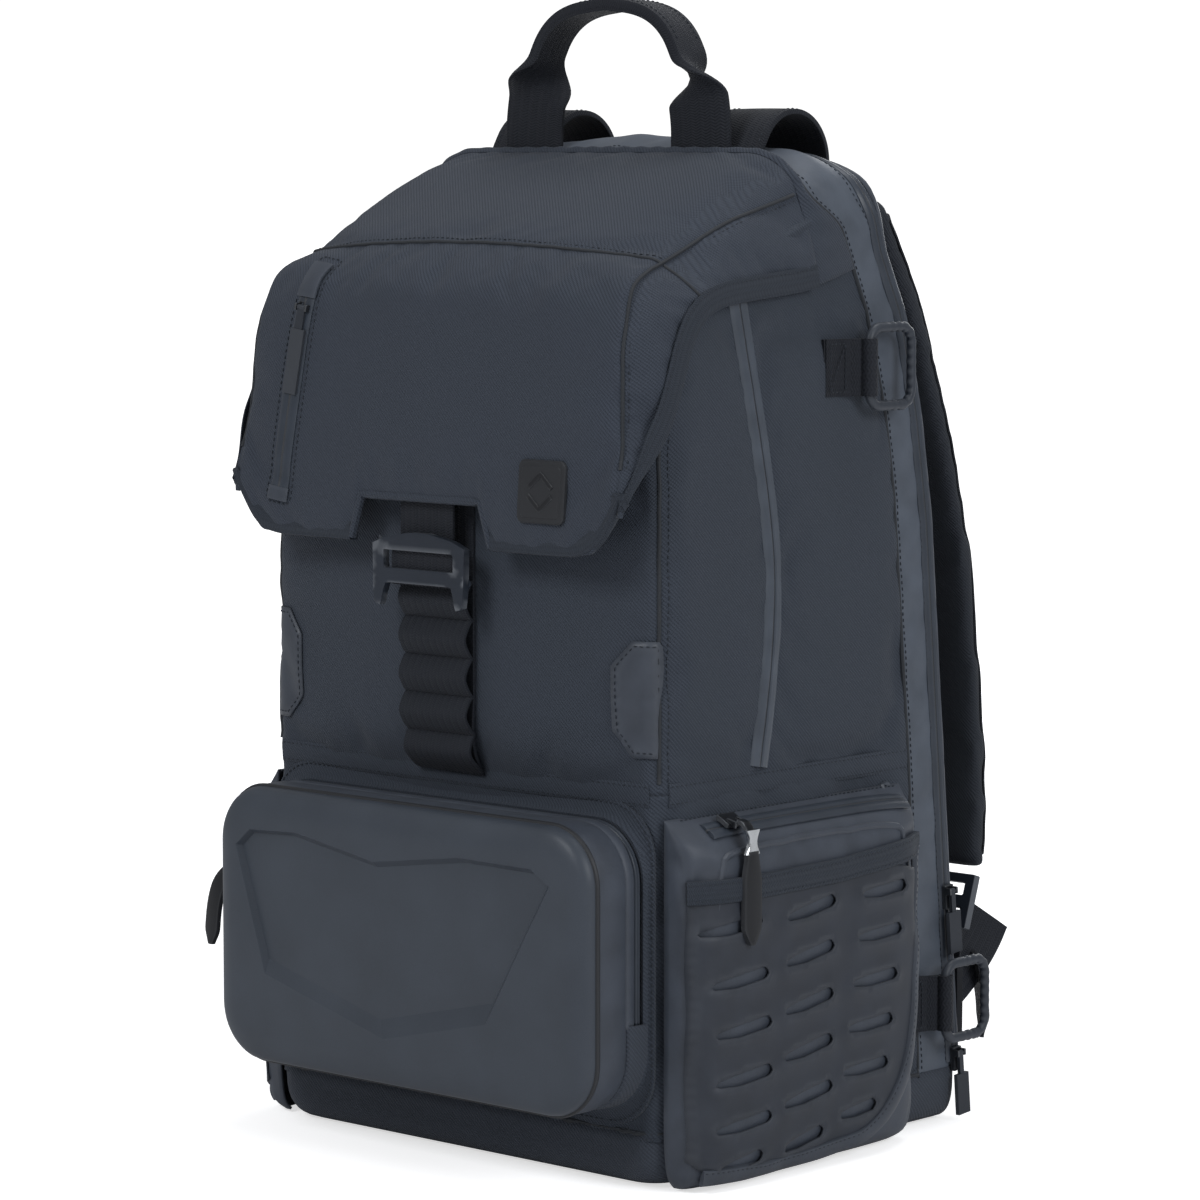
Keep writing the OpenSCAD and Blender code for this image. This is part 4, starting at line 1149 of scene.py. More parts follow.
def pocket_loop(inset, y, extra=(0.0, 0.0)):
    ring = rounded_rect(SHELL_W - 2 * inset + extra[0], SHELL_H - 2 * inset + extra[1], max(SHELL_R - inset, 5), 12)
    ring = resample(np.concatenate([ring, ring[:1]]), count=LOOP + 1)[:-1]
    return np.column_stack([ring[:, 0], np.full(LOOP, y), ring[:, 1] + SHELL_Z])


def crown(points):
    """The front face stands out a little in the middle."""
    share = (points[:, 0] / SHELL_W * 2) ** 2 * 0.7 + ((points[:, -1] - SHELL_Z) / SHELL_H * 2) ** 2 * 0.6
    return -2.2 * np.clip(1 - share, 0, 1)


deep = SHELL_BACK - SHELL_FRONT
RIM_SHARE = 0.7
shell_rows = [(1.5, RIM_SHARE - 0.03), (0.2, RIM_SHARE), (0, RIM_SHARE + 0.03), (0.3, 0.79), (1.1, 0.855), (2.5, 0.91), (4.6, 0.95),
              (7.2, 0.977), (10, 0.993), (13, 1.0)]
loops = [pocket_loop(inset, SHELL_BACK - deep * share) for inset, share in shell_rows]
for k in (-3, -2, -1):
    loops[k][:, 1] += crown(loops[k]) * (0.3, 0.65, 1.0)[k + 3]
wall_part = lattice(np.array(loops), False, True)
SHIELD = np.array([(-115, 158), (-95, 99), (-11, 77), (70, 96), (93, 136), (107, 160), (98, 165.5), (51, 166), (-13, 157),
                   (-76, 167), (-106, 165.5)], float)
BEVELS = [2.5, 7.5, 10, 3, 3, 2, 2.5, 3, 3, 2, 2]


def grown(poly, widths):
    """Each edge of an anticlockwise polygon moved outwards by its own width."""
    made = []
    for i in range(len(poly)):
        a, b, c = poly[i - 1], poly[i], poly[(i + 1) % len(poly)]
        n0 = unit(np.array([(b - a)[1], -(b - a)[0]]))
        n1 = unit(np.array([(c - b)[1], -(c - b)[0]]))
        made.append(np.linalg.solve([n0, n1], [n0 @ b + widths[i - 1], n1 @ b + widths[i]]))
    return np.array(made)


def inside_poly(p, poly):
    x, y = p[:, 0], p[:, 1]
    hit = np.zeros(len(p), bool)
    for (x0, y0), (x1, y1) in zip(poly, np.roll(poly, -1, 0)):
        hit ^= ((y0 > y) != (y1 > y)) & (x < (x1 - x0) * (y - y0) / (y1 - y0 + 1e-12) + x0)
    return hit


def densely(poly, step):
    return resample(np.concatenate([poly, poly[:1]]), step)[:-1]


def on_outline(points, poly):
    """True for points that lie on the edges of a polygon."""
    hit = np.zeros(len(points), bool)
    for a, b in zip(poly, np.roll(poly, -1, 0)):
        share = np.clip((points - a) @ (b - a) / ((b - a) @ (b - a)), 0, 1)
        hit |= np.linalg.norm(points - a - share[:, None] * (b - a), axis=1) < 0.05
    return hit


face_outline = loops[-1][:, [0, 2]]
shield_out = np.clip(grown(SHIELD, BEVELS), face_outline.min(0) + 1.2, face_outline.max(0) - 1.2)
face_flat, face_triangles = cdt_sheet(face_outline, lines=[SHIELD, shield_out], step=5,
                                      clear=lambda p: inside_poly(p, shield_out) & ~inside_poly(p, SHIELD))
middle = SHIELD.mean(0)
sunk = inside_poly(middle + (face_flat - middle) * 0.9995, SHIELD)
face_y = SHELL_FRONT + crown(face_flat) + 3.2 * sunk
face_part = flat_part(np.column_stack([face_flat[:, 0], face_y, face_flat[:, 1]]), face_triangles, face_flat)
shell = make("moulded_pocket", [outward(wall_part, (0, -130, SHELL_Z)), outward(face_part, (0, -130, SHELL_Z))], SHELL,
             "front_door", ["hard_shell"], True, sharp=70, inner=LINING)
# The folds of the relief stay crisp
corners = np.array([v.co for v in shell.data.vertices])[:, [0, 2]] / MM
folds = on_outline(corners, SHIELD) | on_outline(corners, shield_out)
for edge in shell.data.edges:
    if folds[list(edge.vertices)].all():
        edge.use_edge_sharp = True
weld = shell.modifiers.new("Weld", "WELD")
weld.merge_threshold = 0.0001
thicken(shell, 2.4, 0)

ZIP_BACK = box("front_zip")[1][1]
ZIP_FRONT = box("front_zip")[0][1]
ZIP_END_Z = box("front_zip")[0][2]


def band_rows(rows, low, high):
    """Rows of a band round the pocket, between two heights; low None goes under the bottom."""
    made = []
    for inset, y in rows:
        ring = pocket_loop(inset, y)
        if high is None:
            ring = ring[ring[:, 2] > low]
        else:
            start = int(np.nonzero(ring[:, 2] > high)[0][0])
            ring = np.roll(ring, -start, 0)
            ring = ring[ring[:, 2] <= high]
            break_at = int(np.argmax(np.linalg.norm(np.diff(ring, axis=0), axis=1))) + 1
            if np.linalg.norm(ring[break_at] - ring[break_at - 1]) > 20:
                ring = np.roll(ring, -break_at, 0)
        made.append(resample(ring, count=150))
    return np.array(made)


gusset_rows = [(0.8, SHELL_BACK - 0.3), (-0.2, SHELL_BACK + 1.6), (-0.4, SHELL_BACK + 3.6), (0, ZIP_FRONT - 1.6), (1.4, ZIP_FRONT)]
band = make("pocket_band", outward(lattice(band_rows(gusset_rows, ZIP_END_Z - 2, None)), (0, -130, SHELL_Z)), COATED,
            "front_door", ["pocket_gusset"], True)
thicken(band, 1.2, 0)
RIM = SHELL_BACK - deep * RIM_SHARE
collar_loops = [pocket_loop(inset, SHELL_BACK + (RIM - SHELL_BACK) * share) for inset, share in
                ((0.9, -0.06), (0, -0.02), (-0.7, 0.2), (-1.0, 0.45), (-0.8, 0.7), (-0.1, 0.93), (0.9, 1.0))]
front_band = make("pocket_front_band", outward(lattice(np.array(collar_loops), False, True), (0, -145, SHELL_Z)), COATED,
                  "front_door", (), True)
thicken(front_band, 2.2, 1)
piping_ring = pocket_loop(0.2, RIM + 0.4)
ring_out = unit((piping_ring - [0, RIM, SHELL_Z]) * [0.55, 0, 1])
make("pocket_piping", sweep(piping_ring, ring_out, round_profile(1.5, 0.4), True), BLACK_RUBBER, "front_door")
zip_rows = [(1.9, ZIP_FRONT - 0.1), (0.6, ZIP_FRONT + 0.6), (0.4, ZIP_FRONT + 1.7), (1.7, (ZIP_FRONT + ZIP_BACK) / 2),
            (0.4, ZIP_BACK - 1.7), (0.6, ZIP_BACK - 0.6), (1.9, ZIP_BACK)]
zip_band = make("pocket_zip", outward(lattice(band_rows(zip_rows, ZIP_END_Z - 2, None)), (0, -128, SHELL_Z)), ZIP_TAPE,
                "front_door", ["front_zip"], True)
thicken(zip_band, 1.0, 1)
hinge_rows = [(0.9, SHELL_BACK + 0.8), (-0.9, SHELL_BACK + 2.2), (-1.2, SHELL_BACK + 6), (-1.2, ZIP_BACK - 3), (-1.4, ZIP_BACK + 1),
              (-1.2, FRONT - 2)]
hinge_sheet = band_rows(hinge_rows, None, ZIP_END_Z + 2)
# The hinge cloth carries the base cloth's painted light.
hinge_cloth = make("pocket_hinge_cloth", outward(lattice(hinge_sheet), (0, -128, SHELL_Z)), BASE_CLOTH_PAINTED_LIGHT, None,
                   (), True)
thicken(hinge_cloth, 1.4, 1)
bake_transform(hinge_cloth)

flange_rows = [((8, 20), FRONT - 0.4), ((8, 19), FRONT - 1.8), ((5, 13), FRONT - 2.6), ((2.5, 5), FRONT - 3.4), ((1.5, 2), FRONT - 5),
               ((0.5, 0.5), ZIP_BACK + 0.6), ((-6, -6), ZIP_BACK + 0.8)]
flange = make("pocket_flange", outward(lattice(np.array([pocket_loop(0, y, extra) for extra, y in flange_rows]), False, True),
                                       (0, -110, SHELL_Z)), TWILL, "bag", ["pocket_base"], True)
thicken(flange, 1.2, 0)
flange_stitch = pocket_loop(0, FRONT - 2.3, (6.5, 16))
stitch("bag", flange_stitch, -FORWARD, lift=0.35)

# ---- side pocket trims ----

# (y, z) of each slot, the slope of its column, and the shorter slots by the lower edge
SLOT_COLUMNS = [(0.10, [(-90, 136), (-85, 108.5), (-82.5, 83), (-82, 58), (-82, 34)], [(-82, 14)]),
                (0.15, [(-32, 138.5), (-33, 115), (-33.5, 90), (-34, 66), (-34, 41.5)], [(-35, 18.5)]),
                (0.03, [(29, 141), (25, 118.5), (21, 95), (17, 71.5), (13, 49)], [(8, 27.5)])]
PANEL_EDGE = [(-113.5, 18), (-107, 11.5), (-60, 9), (10, 10.5), (29, 17.5), (49, 38), (59, 65), (64, 110), (66.5, 159), (-113.5, 157)]
SLOT_HALF, SLOT_TALL = 20.0, 3.4


def slot_outline(y, z, climb, half):
    """A long slot: blunt and low at its front end, deeper with a pointed end at the back."""
    shape = np.array([(-half, 0.2), (1.5 - half, -1.4), (2 - half * 0.35, -SLOT_TALL), (half - SLOT_TALL, -SLOT_TALL * 0.9), (half, 0.3),
                      (half - SLOT_TALL * 0.8, SLOT_TALL), (-half * 0.4, SLOT_TALL * 0.85), (2.5 - half, 1.9)])
    return shape @ np.array([[1, climb], [-climb, 1]]) + [y, z]


slots = [slot_outline(y, z, climb, SLOT_HALF) for climb, column, _ in SLOT_COLUMNS for y, z in column]
slots += [slot_outline(y, z, climb + 0.06, 15.5) for climb, _, low in SLOT_COLUMNS for y, z in low]
panel_outline = densely(np.array(smooth_path(PANEL_EDGE, 3, 1)), 3)
panel_flat, panel_triangles = cdt_sheet(panel_outline, [densely(s, 2.4) for s in slots], step=3.2)
panel_places, _ = drape(pocket_tree, on_side(panel_flat), LEFTWARD)
near = [pocket_tree.find_nearest(Vector(p)) for p in panel_places]
panel_normals = np.array([n[1] for n in near])
panel_normals *= np.where(panel_normals[:, 0] < 0, -1, 1)[:, None]
lip = np.zeros(len(panel_flat))
for s in slots:
    a, b = s[0] + (s[4] - s[0]) * 0.1, s[4] - (s[4] - s[0]) * 0.1
    t = np.clip(((panel_flat - a) @ (b - a)) / ((b - a) @ (b - a)), 0, 1)
    gap = panel_flat - (a + t[:, None] * (b - a))
    far_off = np.linalg.norm(gap, axis=1)
    lip += np.where(gap[:, 1] < 0, 1.7, 0.7) * np.exp(-((far_off - 2.5) / 5.5) ** 2)
panel_lift = 1.5 + lip
for side in ("right", "left"):
    part = flat_part(panel_places + panel_normals * panel_lift[:, None], panel_triangles, panel_flat)
    part = outward(part, (0, POCKET_MID, 90))
    back_flat, back_triangles = cdt_sheet(panel_outline, step=6)
    back_places, back_normals = drape(pocket_tree, on_side(back_flat), LEFTWARD)
    back_part = outward(flat_part(back_places + np.array([0.45, 0, 0]), back_triangles, back_flat), (0, POCKET_MID, 90))
    if side == "left":
        part, back_part = mirrored(part), mirrored(back_part)
    panel = make(f"slotted_panel_{side}_sheet", part, LAMINATE, "bag", [f"slotted_panel_{side}"], True)
    thicken(panel, 1.1, 0)
    make(f"slot_backing_{side}", back_part, COATED, "bag", (), True)

panel_tree = tree_from(bpy.data.objects["slotted_panel_right_sheet"])
top_tape = resample(np.array([(-114, 155), (-60, 155.2), (-6, 155.8), (67, 160.5)], float), 4)
tape_path, tape_normals = drape(pocket_tree, on_side(top_tape), LEFTWARD, 2.3)
make("pocket_tapes", both_sides(sweep(tape_path, tape_normals, flat_profile(12, 1.1, 0.4, 1.6))), BINDING, "bag")
for shift in (-4.2, 4.2):
    stitch_pair("bag", offset_path(tape_path, tape_normals, shift), tape_normals, lift=1.25)
rear_strip = smooth_path([(66.5, 160), (65, 122), (59.5, 66), (49, 37), (29, 17), (10, 10), (-60, 7.5), (-106, 9)], 4, 2)
strip_path, strip_normals = drape(pocket_tree, on_side(rear_strip), LEFTWARD, 1.2)
make("pocket_edge_strips", both_sides(sweep(strip_path, strip_normals, flat_profile(9, 1.5, 0.9, 1.0))), WELT, "bag")
stitch_pair("bag", offset_path(strip_path, strip_normals, 3.2), strip_normals, lift=1.75)
ZIP_LOW, ZIP_HIGH = box("side_pocket_zips")
zip_x = (ZIP_HIGH[0] + HALF_W + 6) / 2
zip_run = np.column_stack([np.full(60, zip_x), np.linspace(-97, 62, 60), np.full(60, 400.0)])
zip_path, zip_normals = drape(pocket_tree, zip_run, -UP, 0.1)
zip_normals = unit(zip_normals * [0, 0, 0] + unit(np.array([0.49, 0, 0.87])))
make("pocket_zip_lips", both_sides(sweep(zip_path, zip_normals, zip_profile(12, 1.7))), ZIP_TAPE, "bag",
     ["side_pocket_zips"])
make("pocket_zip_coils", both_sides(sweep(zip_path, zip_normals, round_profile(1.1, 0))), COIL, "bag")
welt_run = np.column_stack([np.full(60, HALF_W + POCKET_D - 1.0), np.linspace(-100, 62, 60), np.full(60, 400.0)])
welt_path, welt_normals = drape(pocket_tree, welt_run, -UP, -0.4)
make("pocket_welts", both_sides(sweep(welt_path, np.broadcast_to(unit(np.array([0.7, 0, 0.7])), welt_path.shape), round_profile(2.0, 0.6))),
     WELT, "bag")
pocket_top_line = np.column_stack([np.full(60, HALF_W + 2.5), np.linspace(-108, 66, 60), np.full(60, 400.0)])
stitch_pair("bag", *drape(pocket_tree, pocket_top_line, -UP, 0.1))

# ---- webbing and hardware on the body ----

HOOK_LOW, HOOK_HIGH = box("hook_buckle")
CHAIN_LOW, CHAIN_HIGH = box("daisy_chain")
CHAIN_W = CHAIN_HIGH[0] - CHAIN_LOW[0] + 2
CHAIN_LOOPS = 5
chain_top = CHAIN_HIGH[2] + 13
chain_pitch = (chain_top - (BELT_Z + 3)) / CHAIN_LOOPS


def front_at(z, lift):
    hit, _, _, _ = body_tree.ray_cast(Vector((0, -400, z)), Vector(FORWARD))
    return hit[1] - lift


chain_line = []
for loop in range(CHAIN_LOOPS):
    for k in range(12):
        t = k / 12
        z = chain_top - chain_pitch * (loop + t + 0.05 * math.sin(2 * math.pi * t))
        chain_line.append((front_at(z, 2.4 + 5.6 * math.sin(math.pi * t) ** 0.8), z))
chain_line.append((front_at(BELT_Z + 3, 2.4), BELT_Z + 3))
chain_line = np.array([(0, y, z) for y, z in chain_line])
chain_normals = unit(np.cross(unit(np.gradient(chain_line, axis=0)), [1, 0, 0]))
chain_normals *= np.where(chain_normals[:, 1] > 0, -1, 1)[:, None]
chain_parts = [sweep(chain_line, chain_normals, flat_profile(CHAIN_W, 1.5, 0.3, 0.0))]
strap_back, strap_back_normals = drape(body_tree, on_front([(0, z) for z in np.linspace(LID_EDGE + 40, BELT_Z + 1, 30)]), FORWARD, 0.1)
chain_parts.append(sweep(strap_back, strap_back_normals, flat_profile(CHAIN_W - 2, 1.4, 0.1)))
make("daisy_chain_webbing", chain_parts, CHAIN_WEBBING, "bag", ["daisy_chain"])
for k in range(CHAIN_LOOPS + 1):
    z = chain_top - chain_pitch * k
    for shift in (-1.4, 0, 1.4):
        tack = np.array([(x, front_at(z + shift, 3.4), z + shift) for x in np.linspace(-CHAIN_W / 2 + 2, CHAIN_W / 2 - 2, 20)])
        stitch("bag", tack, -FORWARD, pitch=2.2, length=2.0, lift=0.05)

strap_low, strap_high = box("lid_strap")
strap_y = strap_low[1]
hang = resample([(0, strap_y + 0.6, strap_high[2] + 6), (0, strap_y + 0.4, HOOK_HIGH[2] + 2), (0, strap_y - 0.6, HOOK_HIGH[2] - 1)], 2)
make("lid_strap_webbing", sweep(hang, -FORWARD, flat_profile(38, 1.6, 0.2, 0.0)), WEBBING, "lid", ["lid_strap"])

# The hook: an arched frame with a window for the webbing and an open foot between two prongs
HOOK_SHAPE = [(-33, 0), (-24, 3.5), (-7, 6.5), (7, 6.5), (24, 3.5), (33, 0), (32.5, -22), (31.5, -31), (27, -32), (25.5, -25.5),
              (23.5, -20), (-23.5, -20), (-25.5, -25.5), (-27, -32), (-31.5, -31), (-32.5, -22)]
HOOK_WINDOW = [(-25, -3), (25, -3), (25, -12.5), (-25, -12.5)]
hook_z = HOOK_HIGH[2] + 0.5
hook_flat, hook_triangles = cdt_sheet(densely(np.array(HOOK_SHAPE, float) + [0, hook_z], 2.5),
                                      [densely(np.array(HOOK_WINDOW, float) + [0, hook_z], 2.5)], step=2.6)
hook_y = HOOK_LOW[1] - 0.6 - 0.5 * smoothstep(hook_flat[:, 1], hook_z - 14, hook_z - 30)
hook_places = np.column_stack([hook_flat[:, 0], hook_y, hook_flat[:, 1]])
hook_part = outward(flat_part(hook_places, hook_triangles, hook_flat), (0, 0, 300))
hook = make("hook_frame", hook_part, HARD, "hook", ["hook_buckle"], True)
solid_hook = hook.modifiers.new("Thick", "SOLIDIFY")
solid_hook.thickness = 4.2 * MM
solid_hook.offset = -1
edge_hook = hook.modifiers.new("Soft_edges", "BEVEL")
edge_hook.width = 1.0 * MM
edge_hook.segments = 3
edge_hook.limit_method = "ANGLE"
edge_hook.angle_limit = math.radians(50)
bake(hook)
wrap = resample([(0, HOOK_HIGH[1] + 0.2, hook_z + 2), (0, HOOK_HIGH[1] - 0.4, hook_z - 10), (0, HOOK_HIGH[1] - 0.2, hook_z - 21)], 1.5)
make("hook_webbing", sweep(wrap, -FORWARD, flat_profile(44, 1.8, 0.3, 0.0)), WEBBING, "hook")

RING_BARS = {"upper": 26.0, "lower": 26.0}
ring_parts = {}
for level in RING_BARS:
    low, high = box(f"ring_{level}_right")
    bar = np.array([(low[0] + high[0]) / 2, low[1] + 2.75, (low[2] + high[2]) / 2])
    height, depth = high[2] - low[2], high[1] - low[1]
    outline = rounded_rect(depth - 5, height - 5, 8.5, 8)
    outline = resample(np.concatenate([outline, outline[:1]]), 1.1)[:-1]
    ring_path = np.column_stack([np.full(len(outline), bar[0]), outline[:, 0] + (low[1] + high[1]) / 2, outline[:, 1] + bar[2]])
    count = len(ring_path)
    run = np.arange(count) * 1.1
    far_bar = smoothstep(ring_path[:, 1], bar[1] + 10, bar[1] + 20)
    waves = 1 + 0.13 * far_bar * np.sin(run * 2 * math.pi / 5.2)
    part = sweep(ring_path, [1.0, 0, 0], [(2.7 * math.cos(a), 2.5 * math.sin(a)) for a in np.linspace(0, 2 * math.pi, 12, False)],
                 True, waves)
    for side, shape in (("right", part), ("left", mirrored(part))):
        name = f"ring_{level}_{side}"
        make(f"{name}_moulded", shape, HARD, name, [name])
    wide = height - 16
    stem = [(HALF_W + 0.9, bar[1] - 27), (HALF_W + 1.0, bar[1] - 17), (HALF_W + 3.0, bar[1] - 9.5), (bar[0] - 3.6, bar[1] - 4.2)]
    loop = [(bar[0] + 4.4 * math.cos(a), bar[1] + 4.4 * math.sin(a)) for a in np.radians(np.linspace(200, -150, 22))]
    back = [(HALF_W + 5.4, bar[1] - 9.5), (HALF_W + 3.4, bar[1] - 17), (HALF_W + 3.2, bar[1] - 26)]
    tab_line = np.array(stem + loop + back)
    tab_path = resample(np.column_stack([tab_line, np.full(len(tab_line), bar[2])]), 1.3)
    tab_normals = unit(np.cross(unit(np.gradient(tab_path, axis=0)), UP))
    ring_parts[level] = sweep(tab_path, tab_normals, flat_profile(wide, 1.5, 0.1, 0.0))
    square = [(bar[1] - 24.5, bar[2] - wide / 2 + 2.5), (bar[1] - 24.5, bar[2] + wide / 2 - 2.5), (bar[1] - 12.5, bar[2] + wide / 2 - 2.5),
              (bar[1] - 12.5, bar[2] - wide / 2 + 2.5), (bar[1] - 24.5, bar[2] - wide / 2 + 2.5), (bar[1] - 12.5, bar[2] + wide / 2 - 2.5)]
    square_path = resample(np.column_stack([np.full(6, HALF_W + 4.9), square]), 1.5)
    stitch_pair("bag", square_path, np.broadcast_to([1.0, 0, 0], square_path.shape), pitch=3.0, lift=0.2)
make("ring_tab_webbing", [shape for part in ring_parts.values() for shape in both_sides(part)], WEBBING, "bag", ["ring_tabs"])

for name in ("lid_slider", "front_slider", "side_pocket_slider_right", "side_pocket_slider_left", "rear_slider_upper",
             "rear_slider_lower"):
    keep(name, SLIDER, 0.35)
slider_low, slider_high = box("side_slider_right")
slider_line = resample([(HALF_W + 2.2, -56.5, slider_high[2] + 17), (HALF_W + 2.2, -58.5, slider_high[2] + 8)], 1)
slider_part = sweep(slider_line, [1.0, 0, 0], flat_profile(7.5, 1.6, 0.6, 0.4))
for side, shape in (("right", slider_part), ("left", mirrored(slider_part))):
    make(f"side_slider_{side}_body", shape, SLIDER, f"side_slider_{side}", [f"side_slider_{side}"])
for name in ("lid_pull", "rear_pull_upper", "rear_pull_lower"):
    keep(name, RUBBER, 0.55)

# Side pocket pulls: a bright waisted tip over the edge, with a leaf-shaped rubber tail
PULL_LOW, PULL_HIGH = box("side_pocket_pull_right")
pull_y = (PULL_LOW[1] + PULL_HIGH[1]) / 2
pull_x = PULL_HIGH[0] - 1.3
pin_x, pin_z = PULL_LOW[0] + 1.6, PULL_HIGH[2] - 1.6
loop_line = smooth_path([(pin_x + 0.6, pull_y, pin_z + 1.2), (pin_x + 4, pull_y, pin_z + 0.6), (pull_x, pull_y, pin_z - 4.5)], 0.8, 2)
loop_normals = unit(np.cross(unit(np.gradient(loop_line, axis=0)), FORWARD))
loop_normals *= np.where(loop_normals[:, 0] < 0, -1, 1)[:, None]
loop_part = sweep(loop_line, loop_normals, flat_profile(6.0, 1.4, 0.3, 0.6))
tip_line = np.array([(pull_x, pull_y, z) for z in np.linspace(pin_z - 2, pin_z - 14.5, 14)])
waist = 1 - 0.45 * np.sin(np.linspace(0, math.pi, len(tip_line))) ** 1.3
tip_part = sweep(tip_line, [1.0, 0, 0], flat_profile(10.0, 1.8, 0.3, 0.6), widths=waist)
tail_line = np.array([(pull_x, pull_y, z) for z in np.linspace(pin_z - 13, PULL_LOW[2] - 3, 30)])
tail_share = np.linspace(0, 1, 30)
tail_width = (0.62 + 0.38 * smoothstep(tail_share, 0.0, 0.35)) * (1 - smoothstep(tail_share, 0.8, 1.06) * 0.85)
tail_part = sweep(tail_line, [1.0, 0, 0], [(a, b - 0.4) for a, b in flat_profile(13.5, 2.2, 0.7, 0.4)], widths=tail_width)
for side, flip in (("right", False), ("left", True)):
    node = f"side_pocket_pull_{side}"
    make(f"{node}_tip", mirrored(tip_part) if flip else tip_part, STEEL, node, [node])
    make(f"{node}_loop", mirrored(loop_part) if flip else loop_part, SLIDER, node)
    make(f"{node}_tail", mirrored(tail_part) if flip else tail_part, BLACK_RUBBER, node)

# The front pocket's pull hangs out past the pocket's left side
FRONT_PULL_LOW, FRONT_PULL_HIGH = box("front_pull")
top_z = FRONT_PULL_HIGH[2]
pull_line = smooth_path([(-138.6, -131, top_z - 1), (-143.5, -136, top_z - 4), (-151, -144.5, top_z - 10), (-155.5, -149, top_z - 23),
                         (-157, -150.5, top_z - 50)], 1.6, 3)
pull_normals = np.broadcast_to(unit(np.array([-0.2, -1.0, 0.1])), pull_line.shape)
pull_share = np.linspace(0, 1, len(pull_line))
pull_width = (0.45 + 0.55 * smoothstep(pull_share, 0.15, 0.5)) * (1 - smoothstep(pull_share, 0.85, 1.05) * 0.8)
make("front_pull_tail", sweep(pull_line, pull_normals, flat_profile(12.5, 2.2, 0.6, 0.0), widths=pull_width), BLACK_RUBBER, "front_pull",
     ["front_pull"])

# ---- carry handle and the bands over the gusset ----

HANDLE_LOW, HANDLE_HIGH = box("carry_handle")
handle_y = (HANDLE_LOW[1] + HANDLE_HIGH[1]) / 2
handle_top = HANDLE_HIGH[2]
HANDLE_SPINE = [(60, HANDLE_LOW[2] - 6), (60, HANDLE_LOW[2] + 8), (57.5, HANDLE_LOW[2] + 24), (52, handle_top - 28), (43, handle_top - 12),
                (27, handle_top - 2), (0, handle_top + 1)]
half_spine = smooth_path(HANDLE_SPINE, 2, 3)
spine = np.concatenate([half_spine, (half_spine[:-1] * [-1, 1])[::-1]])
spine = resample(spine, 2)
count = len(spine)
share = 1 - np.abs(np.linspace(-1, 1, count))
turned = smoothstep(share, 0.22, 0.46)
tangent = unit(np.gradient(spine, axis=0))
handle_rings = []
for p, t, s in zip(spine, tangent, turned):
    path_side = np.array([-t[1], 0, t[0]])
    across = unit(path_side * math.cos(s * math.pi / 2) + FORWARD * math.sin(s * math.pi / 2))
    out = np.cross(across, np.array([t[0], 0, t[1]]))
    half_wide = 20.5 - 9.0 * s
    thick = 1.3 + 2.0 * s
    centre = np.array([p[0], handle_y, p[1]])
    handle_rings.append([centre + across * a * half_wide + out * b * thick for a, b in
                         ((-1, -0.6), (-0.96, -1), (-0.5, -1.05), (0, -1.1), (0.5, -1.05), (0.96, -1), (1, -0.6), (1, 0.6), (0.96, 1),
                          (0.5, 1.05), (0, 1.1), (-0.5, 1.05), (-0.96, 1), (-1, 0.6))])
handle_part = lattice(np.array(handle_rings), False, True)
ends = len(handle_rings[0])
handle_part[1].extend([tuple(range(ends)), tuple(range((count - 1) * ends, count * ends))])
handle_part[2].extend([(0, 0)] * (2 * ends))
make("handle_webbing", handle_part, WEBBING, "handle", ["carry_handle"])
grip = [i for i in range(count) if share[i] > 0.5]
grip_line = np.array([(spine[i][0], handle_y - 8.5, spine[i][1]) + np.array([tangent[i][1] * -1, 0, tangent[i][0]]) * -3.4 for i in grip])
grip_out = np.array([(-tangent[i][1], 0, tangent[i][0]) for i in grip])
grip_out *= np.where(np.sum(grip_out * (grip_line - [0, handle_y, handle_top - 45]), axis=1) < 0, -1, 1)[:, None]
for side_y in (-8, 8):
    line = np.array([(spine[i][0], handle_y + side_y, spine[i][1]) for i in grip]) + grip_out * 3.6
    stitch("handle", line, grip_out, lift=0.1)

BAND_LOW, BAND_HIGH = box("strap_bands")
band_inner = 54.0
band_w = 43.0
band_x = band_inner + band_w / 2
band_y = 36.0
band_mid = np.array([band_y, BAND_HIGH[2] - 28.0])
arch = [(band_mid[0] + 26.8 * math.cos(a), band_mid[1] + 26.8 * math.sin(a)) for a in np.radians(np.linspace(150, -24, 44))]
arch = [(arch[0][0] - 8, arch[0][1] - 15), (arch[0][0] - 3, arch[0][1] - 5)] + arch
arch += [(arch[-1][0] - 2, arch[-1][1] - 8), (arch[-1][0] - 3, arch[-1][1] - 26)]
arch = resample(np.column_stack([np.full(len(arch), band_x), arch]), 2)
arch_normals = unit(np.cross(unit(np.gradient(arch, axis=0)), [1.0, 0, 0]))
arch_normals *= np.where(np.sum(arch_normals * (arch - [band_x, *band_mid]), axis=1) < 0, -1, 1)[:, None]
band_parts = both_sides(sweep(arch, arch_normals, flat_profile(band_w, 1.5, 0.3, 1.2)))
make("strap_band_webbing", band_parts, WEBBING, "back_door", ["strap_bands"])
for shift in (-8, 0, 8):
    line = arch[6:30] + np.array([band_w / 2 - 3 if shift == 0 else -band_w / 2 + 3, 0, 0]) * (1 if shift else 1)
    if shift >= 0:
        stitch_pair("back_door", line, arch_normals[6:30], lift=1.7)

# ---- back panel, pads and straps ----


